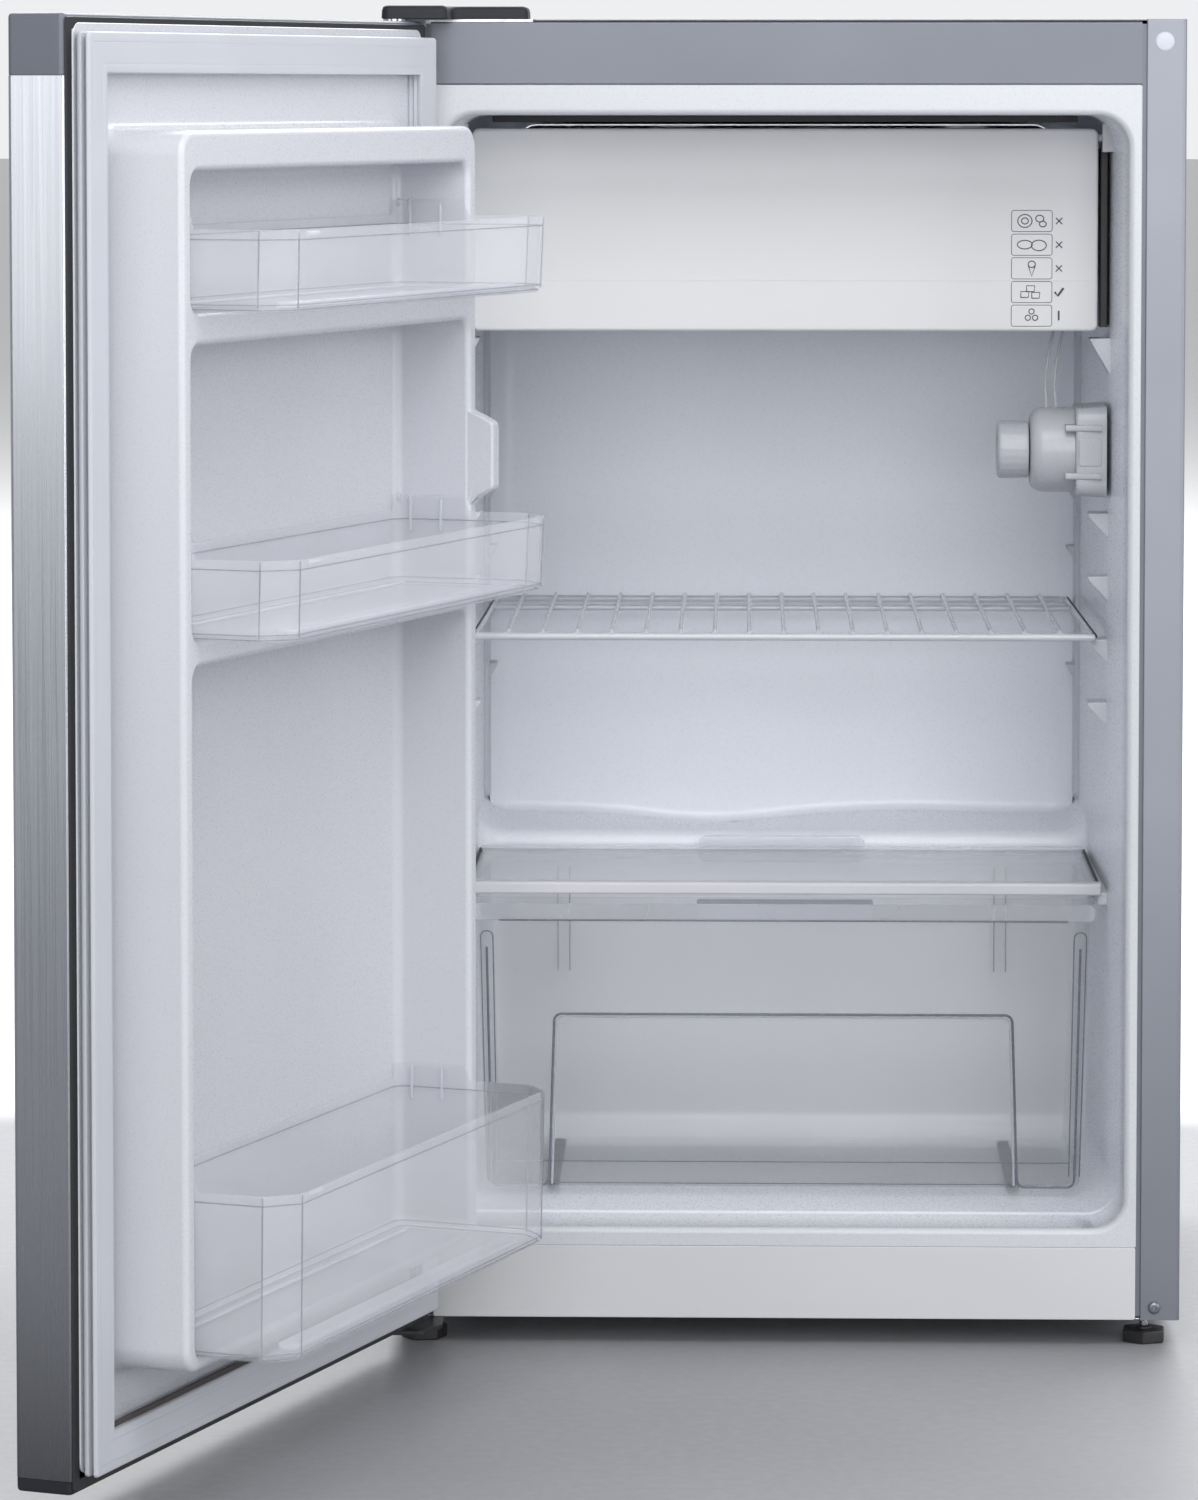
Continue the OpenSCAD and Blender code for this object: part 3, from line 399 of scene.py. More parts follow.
def bend(path, radius, steps=6):
    """An open path with its inner corners rounded."""
    points = [Vector(p) for p in path]
    out = [points[0]]
    for a, p, b in zip(points, points[1:], points[2:]):
        u, v = (a - p).normalized(), (b - p).normalized()
        half = u.angle(v) / 2
        if half > HALF_PI - 0.01:
            out.append(p)
            continue
        reach = min(radius / math.tan(half), (a - p).length * 0.49, (b - p).length * 0.49)
        centre = p + (u + v).normalized() * (reach / math.cos(half))
        start, end = p + u * reach - centre, p + v * reach - centre
        normal = start.cross(end).normalized()
        angle = start.angle(end)
        out += [centre + Matrix.Rotation(angle * k / steps, 3, normal) @ start for k in range(steps + 1)]
    return out + [points[-1]]


def tube(bm, path, radius, sides=12, closed=False, round_ends=True):
    """A round bar along a path."""
    points = [Vector(p) for p in path]
    count = len(points)
    tangents = [(points[(i + 1) % count if closed else min(i + 1, count - 1)]
                 - points[i - 1 if closed or i else 0]).normalized() for i in range(count)]
    normal = tangents[0].orthogonal().normalized()
    frames = []
    for p, t in zip(points, tangents):
        normal = (normal - t * normal.dot(t)).normalized()
        frames.append((p, normal.copy(), t.cross(normal), t))
    turn = circle(sides)
    rings = [[p + radius * (c * n + s * o) for c, s in turn] for p, n, o, _ in frames]
    if round_ends and not closed:
        for end, sign in ((0, -1), (-1, 1)):
            p, n, o, t = frames[end]
            for a in (math.pi / 5, 2 * math.pi / 5):
                ring = [p + sign * t * radius * 0.8 * math.sin(a) + radius * math.cos(a) * (c * n + s * o)
                        for c, s in turn]
                rings.insert(0 if sign < 0 else len(rings), ring)
    loft(bm, rings, caps=not closed, wrap=closed)


def piece(name, bm, material, body, replaces=(), at=None, smooth=35, thick=0.0):
    """Makes an object of bm, gives it its finish, and puts it on its CAD body."""
    bmesh.ops.remove_doubles(bm, verts=bm.verts, dist=1e-4)
    bmesh.ops.dissolve_degenerate(bm, dist=1e-5, edges=bm.edges)
    if not thick:
        bmesh.ops.recalc_face_normals(bm, faces=bm.faces)
    for face in bm.faces:
        face.smooth = True
    for edge in bm.edges:
        edge.smooth = len(edge.link_faces) != 2 or edge.calc_face_angle(0) < math.radians(smooth)
    bmesh.ops.scale(bm, vec=(MM, MM, MM), verts=bm.verts)
    if at:
        bmesh.ops.transform(bm, matrix=at, verts=bm.verts)
    mesh = bpy.data.meshes.new(name)
    bm.to_mesh(mesh)
    bm.free()
    made = bpy.data.objects.new(name, mesh)
    scene.collection.objects.link(made)
    mesh.materials.append(MATERIALS[material])
    if thick:
        solid = made.modifiers.new("thickness", "SOLIDIFY")
        solid.thickness = thick * MM
        solid.offset = -1
    made.modifiers.new("normals", "WEIGHTED_NORMAL").keep_sharp = True
    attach(made, body)
    if replaces:
        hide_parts(*replaces)


def refine(node, body, width):
    """Stands for a CAD node with a copy of it, its flat faces joined and its sharp edges rounded."""
    bm = bmesh.new()
    bm.from_mesh(frame["nodes"][node].data)
    bmesh.ops.scale(bm, vec=(1 / MM,) * 3, verts=bm.verts)
    bmesh.ops.remove_doubles(bm, verts=bm.verts, dist=1e-3)
    bmesh.ops.dissolve_limit(bm, angle_limit=math.radians(0.5), verts=bm.verts, edges=bm.edges)
    if width:
        bmesh.ops.remove_doubles(bm, verts=bm.verts, dist=1e-4)
        edges = [e for e in bm.edges if len(e.link_faces) == 2 and e.calc_face_angle(0) > math.radians(30)]
        bmesh.ops.bevel(bm, geom=edges, offset=width, segments=2, profile=0.5, affect="EDGES",
                        clamp_overlap=True)
    slots = {s["node"]: s["material_slot"] for s in frame["record"]["subparts"]}
    piece(node + "_finished", bm, slots[node], body, [node])


# ---- Food compartment ----

# The opening in the front plane, and the round lip in front of it.
OPEN_HALF = 214.5
OPEN_Z0 = 76.0
OPEN_Z1 = 778.0
OPEN_R = 20.0
LIP = 4.0
# How far each side wall has drawn in, at each depth behind the front plane.
DRAFT = [(0, 0), (60, 2), (110, 4.5), (300, 7), (410, 9.5)]
HUMP_DEPTH = 300.0
HUMP_Z = 290.0
CAVITY_DEPTH = 410.0
# The wall's shelf supports: heights of their tops, and where each row starts and ends.
SUPPORT_TOPS = (397, 438, 479, 520)
SUPPORT_ROWS = ((124, 148), (374, 394))
SUPPORT_TIP = 197


def wall_at(depth):
    """Half the compartment's width at a depth behind the front plane."""
    for (d0, a), (d1, b) in zip(DRAFT, DRAFT[1:]):
        if depth <= d1:
            return OPEN_HALF - a - (b - a) * max(0, depth - d0) / (d1 - d0)
    return OPEN_HALF - DRAFT[-1][1]


def bump_at(x, centre, width):
    return math.exp(-((x - centre) / width) ** 2)


def make_liner():
    bm = bmesh.new()
    ridge = [(46, OPEN_Z0), (49, OPEN_Z0 + 1.2), (53, OPEN_Z0 + 1.2), (56, OPEN_Z0)]
    shelf = [(345, HUMP_Z), (375, HUMP_Z), (402, HUMP_Z)]
    corners = [(LIP, OPEN_Z0), *ridge, (HUMP_DEPTH, OPEN_Z0), (HUMP_DEPTH, HUMP_Z), *shelf,
               (CAVITY_DEPTH, HUMP_Z), (CAVITY_DEPTH, OPEN_Z1), (LIP, OPEN_Z1)]
    radii = [0, 3, 2, 2, 3, 22, 9, 0, 0, 0, 7, 24, 0]
    deep = [OPEN_R] * 5 + [12] * 6 + [OPEN_R, 0]
    steps, strips = 10, 40
    inner = OPEN_HALF - OPEN_R
    spans = [(inner + OPEN_R * math.cos(a), 1 - math.sin(a)) for a in quarter(steps)]
    middle = [(inner * (2 * k / strips - 1), 0.0) for k in range(1, strips)]
    rings = []
    for x, share in [(-x, i) for x, i in spans] + middle + spans[::-1]:
        ring = []
        for d, z in outline(corners, radii, [s * share for s in deep]):
            if d > 340 and z < 330:
                near = min(1, (d - 340) / 60) * min(1, (330 - z) / 30)
                z += near * (1.6 * bump_at(x, 90, 50) - 7.4 * bump_at(x, -52, 62))
            ring.append((x, d, z))
        rings.append(ring)
    loft(bm, rings[::-1], closed=False)
    bmesh.ops.remove_doubles(bm, verts=bm.verts, dist=1e-4)
    for depth, _ in DRAFT[1:-1]:
        geometry = list(bm.verts) + list(bm.edges) + list(bm.faces)
        bmesh.ops.bisect_plane(bm, geom=geometry, plane_co=(0, depth, 0), plane_no=(0, 1, 0), dist=1e-4)
    mouth = rect(-OPEN_HALF, OPEN_Z0, OPEN_HALF, OPEN_Z1)
    lips = [place(outline(mouth, OPEN_R, -LIP * (1 - math.cos(a)), steps), "xz", LIP * (1 - math.sin(a)))
            for a in quarter(5)]
    edge = rect(liner_lo.x, liner_lo.z, liner_hi.x, liner_hi.z)
    lips += [place(outline(edge, 1.5, i, steps), "xz", d) for i, d in ((0.5, 0), (0, 0.5), (0, 1.5))]
    loft(bm, lips, caps=False)
    bmesh.ops.remove_doubles(bm, verts=bm.verts, dist=1e-3)
    for v in bm.verts:
        x, d, z = v.co
        if abs(x) <= OPEN_HALF + LIP:
            x *= wall_at(d) / OPEN_HALF
        v.co = (x, d + FRONT, z)
    bmesh.ops.recalc_face_normals(bm, faces=bm.faces)
    middle_of_floor = Vector((0, FRONT + 150, OPEN_Z0))
    floor = min(bm.faces, key=lambda f: (f.calc_center_median() - middle_of_floor).length)
    if floor.normal.z < 0:
        bmesh.ops.reverse_faces(bm, faces=bm.faces)
    # The compartment's liner takes the lighter copy of the liner plastic, as painted light.
    piece("compartment_liner", bm, "cavity_plastic", "cabinet", ["liner"], thick=1.5)


SUNK = 0.2


def wall_bump(bm, tip, depths, heights, fillet=2.5, radius=2.0):
    """A moulded ledge on both side walls, which grows towards the wall with a soft foot."""
    outer = rect(depths[0], heights[0], depths[1], heights[1])
    bevel = 1.2
    for side in (-1, 1):
        rings = [[(side * (tip + reach), d + FRONT, z) for d, z in outline(outer, radius, inset, 4)]
                 for reach, inset in ((0.0, bevel), (0.35 * bevel, 0.35 * bevel), (bevel, 0.0))]
        for a in quarter(4):
            grow, back = -fillet * (1 - math.cos(a)), -fillet * (1 - math.sin(a))
            rings.append([(side * (wall_at(d) + back + SUNK), d + FRONT, z)
                          for d, z in outline(outer, radius, grow, 4)])
        loft(bm, rings)


def wall_gusset(bm, depths, top, drop=16.0):
    """A shelf support on both side walls: flat above, and falling back to the wall below."""
    for side in (-1, 1):
        rings = []
        for out, low, inset in ((0.0, 1.6, 0.8), (0.5, 2.4, 0.2), (1.2, 3.4, 0.0), (None, drop, 0.0)):
            corners = outline(rect(depths[0], top - low, depths[1], top), 0.8, inset, 4)
            rings.append([(side * (wall_at(d) + SUNK if out is None else SUPPORT_TIP + out), d + FRONT, z)
                          for d, z in corners])
        loft(bm, rings)


def make_wall_supports():
    bm = bmesh.new()
    wall_bump(bm, 202.4, (370, 398), (304, 632), fillet=3, radius=5)
    for top in SUPPORT_TOPS:
        for row in SUPPORT_ROWS:
            wall_gusset(bm, row, top)
    wall_gusset(bm, (112, 136), 634, 24)
    wall_bump(bm, 203.3, (110, 296), (266, 275), fillet=1.5)
    piece("wall_supports", bm, "liner_plastic", "cabinet")


def make_seam_shade():
    """Painted shade: a dark strip set in the gap between the liner's flange and the sheets, so that the gap
    shows dark.
    """
    bm = bmesh.new()
    for side in (-1, 1):
        x0, x1 = mirrored(side, liner_hi.x - 1.2, liner_hi.x + 2.9)
        slab(bm, "xz", rect(x0, BASE_Z + 2, x1, CAB_TOP - 3), 0.4, FRONT + 1.8, FRONT + 4, 0.3, 2, 2)
    piece("seam_shade_strip", bm, "rail_steel", "cabinet")


make_liner()
make_seam_shade()
make_wall_supports()


# ---- Cabinet shell ----

# How far the side panels fold in at the front.
RETURN = 25


def make_side_panel(name, side):
    bm = bmesh.new()
    lo, hi = cad(name)
    line = [(HALF_W - RETURN, FRONT + 8), (HALF_W - RETURN, FRONT), (HALF_W, FRONT), (HALF_W, BACK),
            (HALF_W - 12, BACK)]
    section = sheet_outline(line, [0, 0.8, 2.6, 2.0, 0], 1.0)
    rings = []
    for z, inset in ((lo.z, 0.3), (lo.z + 0.3, 0), (hi.z - 0.3, 0), (hi.z, 0.3)):
        rings.append([(side * (x - (inset if x > HALF_W - 0.5 else 0)), y, z) for x, y in section])
    loft(bm, rings)
    piece(name + "_sheet", bm, "painted_steel", "cabinet", [name])


make_side_panel("side_panel_left", -1)
make_side_panel("side_panel_right", 1)


def make_top():
    lo, hi = cad("top_panel")
    bm = bmesh.new()
    notch_x, notch_y = -158, FRONT + 48
    right, front = HALF_W - 1.2, lo.y + 1
    corners = [(notch_x, front), (HALF_W - RETURN, front), (right, front), (right, hi.y), (lo.x, hi.y),
               (lo.x, notch_y), (notch_x, notch_y)]
    slab(bm, "xy", corners, [2, 0, 0, 2, 2, 1, 3], hi.z - 1, hi.z, 0.3, 4, 2)
    piece("top_sheet", bm, "painted_steel", "cabinet", ["top_panel"])
    # The top rail takes the darker copy of the paint, as painted shade.
    lo, hi = cad("front_top_rail")
    bm = bmesh.new()
    line = [(lo.y + 3, hi.z + 0.8), (lo.y, hi.z), (lo.y, lo.z), (lo.y + 8, lo.z)]
    section = sheet_outline(line, [0, 1.2, 1.2, 0], 1.0)
    loft(bm, [[(x, y, z) for y, z in section] for x in (lo.x, hi.x)])
    piece("top_rail_sheet", bm, "rail_steel", "cabinet", ["front_top_rail"])


make_top()


def make_kick_plate():
    lo, hi = cad("kick_plate")
    bm = bmesh.new()
    slab(bm, "xz", rect(lo.x, lo.z, hi.x, hi.z), 1.2, lo.y, lo.y + 1.5, 0.6, 4)
    slab(bm, "xz", rect(lo.x + 1, hi.z - 1.5, hi.x - 1, hi.z - 0.1), 0.4, lo.y + 1, hi.y, 0.2, 2, 1)
    piece("kick_panel", bm, "white_plastic", "cabinet", ["kick_plate"])


make_kick_plate()


def make_hinge_cover():
    lo, hi = cad("top_hinge_cover")
    bm = bmesh.new()
    corners = [(lo.x, lo.y), (PIVOT.x + 34, lo.y), (PIVOT.x + 34, FRONT + 1), (hi.x, FRONT + 1),
               (hi.x, hi.y), (lo.x, hi.y)]
    radii = [5, 5, 6, 5, 5, 5]
    levels = [(lo.z, 0.0), (hi.z - 3.2, 0.25), (hi.z - 1.2, 0.9), (hi.z - 0.35, 1.9), (hi.z, 3.4)]
    loft(bm, [place(outline(corners, radii, i), "xy", z) for z, i in levels])
    piece("hinge_cover", bm, "cover_plastic", "cabinet", ["top_hinge_cover"])


make_hinge_cover()


# ---- Door ----

skin_lo, skin_hi = cad("door_skin", DOOR)
# The raised frame on the door liner, the plane that it stands on, and its three bays from foot to top.
RAIL_X = 208.0
RAIL_IN = 196.0
RAIL_Z = (85.0, 772.0)
RAIL_Y = FRONT + 39
DOOR_BACK = FRONT - 11
BAYS = ((92, 477), (491, 654), (672, 750))


def make_door_skin():
    lo, hi = skin_lo, skin_hi
    bm = bmesh.new()
    line = [(lo.x + 10, hi.y), (lo.x, hi.y), (lo.x, lo.y), (hi.x, lo.y), (hi.x, hi.y), (hi.x - 10, hi.y)]
    section = sheet_outline(line, [0, 1.2, 3, 3, 1.2, 0], 1.0, 6)
    loft(bm, [place(section, "xy", z) for z in (lo.z, hi.z)])
    piece("door_sheet", bm, "brushed_steel", "door", ["door_skin"], at=DOOR)


make_door_skin()


def make_cap(node, top, material):
    lo, hi = cad(node, DOOR)
    bm = bmesh.new()
    high = hi.z - lo.z
    levels = [(0.0, 0.5), (0.5, 0.0), (high - 2.4, 0.0), (high - 1.1, 0.35), (high - 0.35, 1.1), (high, 2.4)]
    loft(bm, [place(outline(rect(lo.x, lo.y, hi.x, hi.y), 3.5, i), "xy", lo.z + h if top else hi.z - h)
              for h, i in levels])
    piece(node + "_moulding", bm, material, "door", [node], at=DOOR)


make_cap("door_top_cap", True, "dark_plastic")
make_cap("door_bottom_cap", False, "cover_plastic")


def make_door_liner():
    lo, hi = cad("door_liner", DOOR)
    bm = bmesh.new()
    plate = rect(lo.x, lo.z, hi.x, hi.z)
    rail = rect(-RAIL_X, RAIL_Z[0], RAIL_X, RAIL_Z[1])
    foot, crest, bay_foot = 7.0, 3.6, 6.5

    def arc(radius):
        return [(radius * (1 - math.cos(a)), radius * (1 - math.sin(a))) for a in quarter(5)]

    def level(corners, radius, inset, y):
        return place(outline(corners, radius, inset, 8), "xz", y)

    rings = [level(plate, 8, i, y) for i, y in ((0.0, lo.y), (0.0, DOOR_BACK - 0.6), (0.6, DOOR_BACK))]
    rings += [level(rail, 14, -grow, DOOR_BACK + up) for up, grow in arc(foot)]
    rings += [level(rail, 14, i, RAIL_Y - down) for i, down in arc(crest)]
    rows = loft(bm, rings, caps=False)
    borders = [rows[-1]]
    for z0, z1 in BAYS:
        bay = rect(-RAIL_IN, z0, RAIL_IN, z1)
        rings = [level(bay, 9, -grow, RAIL_Y - down) for down, grow in arc(crest)]
        rings += [level(bay, 9, inset, DOOR_BACK + up) for inset, up in arc(bay_foot)]
        made = loft(bm, rings, caps=False)
        bm.faces.new(made[-1])
        borders.append(made[0])
    edges = []
    for border in borders:
        edges += [bm.edges.get(pair) for pair in zip(border, border[1:] + border[:1])]
    bmesh.ops.triangle_fill(bm, use_beauty=True, edges=[e for e in edges if e])
    bm.faces.new(rows[0])
    piece("door_inner_liner", bm, "liner_plastic", "door", ["door_liner"], at=DOOR)


make_door_liner()


def make_gasket():
    lo, hi = cad("door_gasket", DOOR)
    bm = bmesh.new()
    base, face = lo.y, hi.y
    section = [(4.4, base), (4.4, base + 1.5), (0.9, base + 1.9), (0.3, base + 2.5), (0.3, base + 4.2),
               (0.9, base + 4.8), (4.6, base + 5.1), (4.6, base + 6.9), (0.8, base + 7.3),
               (0.0, base + 8.0), (0.3, face - 0.6), (1.0, face), (5.2, face), (5.7, face - 0.35),
               (6.2, face), (17.0, face), (17.5, face - 0.35), (18.0, face), (21.8, face),
               (22.7, face - 0.8), (23.0, base + 7.6), (21.6, base + 6.0), (22.8, base + 4.5),
               (21.4, base + 3.0), (22.8, base + 1.5), (22.0, base)]
    frame_sweep(bm, "xz", rect(lo.x, lo.z - 9, hi.x, hi.z), 2.5, section)
    piece("gasket_seal", bm, "gasket_rubber", "door", ["door_gasket"], at=DOOR, smooth=60)
    # A black strip on the skin's fold, as painted shade in the gap between the skin and the gasket.
    bm = bmesh.new()
    outer = rect(skin_lo.x + 1.4, skin_lo.z - 6.4, skin_hi.x - 1.4, skin_hi.z + 32)
    strip = [(0.0, skin_hi.y), (0.3, skin_hi.y + 1.1), (6.4, skin_hi.y + 1.1), (6.7, skin_hi.y)]
    frame_sweep(bm, "xz", outer, 2.5, strip)
    piece("door_gap_shade_strip", bm, "black_plastic", "door", at=DOOR)


make_gasket()


def make_door_foam():
    """The foam in the door, as a block that stays clear of the skin's and the liner's edges."""
    lo, hi = cad("door_foam", DOOR)
    bm = bmesh.new()
    slab(bm, "xz", rect(lo.x + 6, lo.z + 6, hi.x - 6, hi.z - 6), 6, lo.y + 0.6, DOOR_BACK - 3, 1, 5)
    piece("door_filling", bm, "foam", "door", ["door_foam"], at=DOOR)


make_door_foam()


# ---- Bins in the door ----

def make_bin(node, hooks):
    """A clear bin: its wall has a band round the rim, and stands higher at both ends, beside the rails."""
    lo, hi = cad(node, DOOR)
    ear = 9.0
    rim, half, cut = hi.z - ear, hi.x, 17.0
    corners = [(-half, lo.y), (half, lo.y), (half, RAIL_Y - 3), (half, RAIL_Y), (half, hi.y - cut),
               (half - cut, hi.y), (cut - half, hi.y), (-half, hi.y - cut), (-half, RAIL_Y),
               (-half, RAIL_Y - 3)]
    radii = [9, 9, 0, 0, 3.5, 5, 5, 3.5, 0, 0]
    foot = [7, 6, 6, 6, 3, 3, 3, 6, 6, 6]

    def level(z, wall, curl=0.0, lift=0.0):
        lean = 1.6 * (1 - (z - lo.z) / (rim - lo.z))
        inset = [wall + curl * f + (lean if 3 < k < 7 else 0) for k, f in enumerate(foot)]
        return [(x, y, z + (lift if abs(x) > half - 5 and y < RAIL_Y - 1.5 else 0))
                for x, y in outline(corners, radii, inset)]

    turn = quarter(4)
    rings = [level(lo.z + 6 * (1 - math.cos(a)), 0.7, 1 - math.sin(a)) for a in turn]
    rings += [level(rim - 5.5, 0.7), level(rim - 5.0, 0.1)]
    rings += [level(rim - down, wall, 0, ear) for down, wall in
              ((0.7, 0), (0.2, 0.25), (0, 0.8), (0, 1.6), (0.25, 2.1), (0.8, 2.3))]
    rings.append(level(rim - 5.0, 2.4))
    rings += [level(lo.z + 2 + 6 * (1 - math.cos(a)), 2.6, 0.9 * (1 - math.sin(a))) for a in turn[::-1]]
    bm = bmesh.new()
    loft(bm, rings)
    piece(node + "_tray", bm, "bin_plastic", node, [node], at=DOOR, smooth=40)
    bm = bmesh.new()
    floor_z = lo.z + 2.2
    strip = rect(-half + 30, hi.y - 24, half - 30, hi.y - 11)
    slab(bm, "xy", strip, 6, floor_z, floor_z + 3.4, 1.2)
    slab(bm, "xy", rect(-half + 22, lo.y + 14, half - 22, lo.y + 17), 1.4, floor_z, floor_z + 1.6, 0.5, 3, 2)
    posts = [(3.2, y, rim - 12, rim + 6, 1.0) for y in (12, 32)]
    posts += [(1.4, y, rim + 6, rim + ear, 1.2) for y in (3.5, 11) if hooks]
    for side in (-1, 1):
        for inside, y, z0, z1, radius in posts:
            x = side * (half - inside)
            tube(bm, [(x, lo.y + y, z0), (x, lo.y + y, z1)], radius, 10)
    tube(bm, [(half - cut - 14, hi.y - 1.9, rim - 2.4), (half - cut - 28, hi.y - 1.9, rim - 2.4)], 1.3, 10)
    piece(node + "_ribs", bm, "clear_rib", node, at=DOOR)
    # Dark lines along the rim, the foot and the corners, as painted shade where the clear walls' edges look
    # dark.
    bm = bmesh.new()
    for z, curl in ((rim - 5.6, 0), (lo.z + 1.6, 0.5), (lo.z + 4.4, 0.05)):
        tube(bm, level(z, 1.1, curl), 0.4, 6, closed=True)
    for x, y in ((half - 0.6, hi.y - cut - 0.4), (half - cut - 0.4, hi.y - 0.9)):
        for side in (-1, 1):
            tube(bm, [(side * (x - 1.4), y - 1.5, lo.z + 3), (side * (x - 0.2), y, rim - 1)], 0.45, 6)
    piece(node + "_edges", bm, "clear_edge", node, at=DOOR)


make_bin("upper_bin", True)
make_bin("middle_bin", True)
make_bin("lower_bin", False)


# ---- Shelf, glass and crisper ----

def make_wire_shelf():
    lo, hi = cad("wire_shelf")
    bar_z, wire_z = lo.z + 2.5, hi.z - 1.4
    front_y, rear_y = lo.y + 2.5, hi.y - 2.5
    half_front, half_back = hi.x - 0.4, 199.5
    loop_r, bar_r, wire_r = 2.3, 2.5, 1.4
    count, pitch = 17, 22.3
    bm = bmesh.new()
    loop = [(-half_front + loop_r, front_y, bar_z), (half_front - loop_r, front_y, bar_z),
            (half_back - loop_r, rear_y, bar_z), (-half_back + loop_r, rear_y, bar_z)]
    middle = Vector(loop[0]).lerp(Vector(loop[1]), 0.5)
    path = bend([middle, *loop[1:], loop[0], middle], 7)
    tube(bm, path[:-1], loop_r, 14, closed=True)
    tube(bm, [(-half_front + 3, front_y, bar_z), (half_front - 3, front_y, bar_z)], bar_r, 16)
    tube(bm, [(-half_back + 2, rear_y - 70, bar_z), (half_back - 2, rear_y - 70, bar_z)], 2.0, 14)
    for k in range(count):
        x = (k - (count - 1) / 2) * pitch
        tube(bm, bend([(x, front_y - 0.4, bar_z + 0.6), (x, front_y + 1.6, wire_z), (x, rear_y - 1.4, wire_z),
                       (x, rear_y + 0.6, bar_z + 1)], 3), wire_r, 10)
        for side in (-1, 1):
            web = [(x, front_y + 1.2, wire_z - 1.2), (x + side * 4.2, front_y + 0.6, bar_z + 0.7)]
            tube(bm, web, 1.5, 8)
    piece("shelf_wires", bm, "coated_wire", "wire_shelf", ["wire_shelf"])
    bm = bmesh.new()
    for side in (-1, 1):
        ends = [Vector((side * (half_front - 1.7), front_y + 4, bar_z + 1.3)),
                Vector((side * (half_back - 1.7), rear_y - 5, bar_z + 1.3))]
        tube(bm, ends, 1.2, 10)
        rod(bm, (ends[0].x - side * 0.6, 0, bar_z + 0.6), "y", 2.2, front_y + 0.8, front_y + 5, 0.6)
    piece("shelf_side_strips", bm, "black_rubber", "wire_shelf")


make_wire_shelf()


def make_glass_shelf():
    lo, hi = cad("crisper_glass")
    bm = bmesh.new()
    slab(bm, "xy", rect(lo.x, lo.y, hi.x, hi.y), 2, lo.z, hi.z, 0.7, 5)
    piece("glass_pane", bm, "safety_glass", "glass_shelf", ["crisper_glass"])
    trim_lo, trim_hi = cad("crisper_glass_trim")
    front, rear = trim_lo.y, trim_hi.y
    bm = bmesh.new()
    mid = (lo.z + hi.z) / 2
    nose = [(front, mid - 4), (front + 3.9, mid - 4), (front + 3.9, hi.z + 0.1), (front + 10, hi.z + 0.1),
            (front + 10, mid + 4), (front, mid + 4)]
    slab(bm, "yz", nose, [1.4, 0.4, 0.2, 0.3, 1.2, 2.2], trim_lo.x, trim_hi.x, 0.8)
    piece("glass_front_trim", bm, "white_plastic", "glass_shelf", ["crisper_glass_trim"])
    bm = bmesh.new()
    slab(bm, "yz", [(rear - 10, hi.z), (rear - 4, hi.z), (rear - 3.9, lo.z), (rear, lo.z),
                    (rear, hi.z + 2), (rear - 10, hi.z + 2)], 0.5, trim_lo.x + 1, trim_hi.x - 1, 0.5)
    slab(bm, "xz", rect(-56, hi.z + 1.2, 56, hi.z + 9), [1, 1, 5, 5], rear - 3.6, rear - 0.4, 0.9, 8)
    piece("glass_rear_trim", bm, "clear_rib", "glass_shelf")
    bm = bmesh.new()
    for side in (-1, 1):
        x0, x1 = mirrored(side, trim_hi.x - 0.1, hi.x - 1.3)
        slab(bm, "xy", rect(x0, lo.y + 7, x1, rear - 1), 0.5, lo.z + 0.2, hi.z + 0.3, 0.4)
        rod(bm, (side * (trim_hi.x - 2), 0, mid + 1), "y", 2.2, front + 9.5, front + 14, 0.6)
    piece("glass_side_strips", bm, "black_rubber", "glass_shelf")


make_glass_shelf()


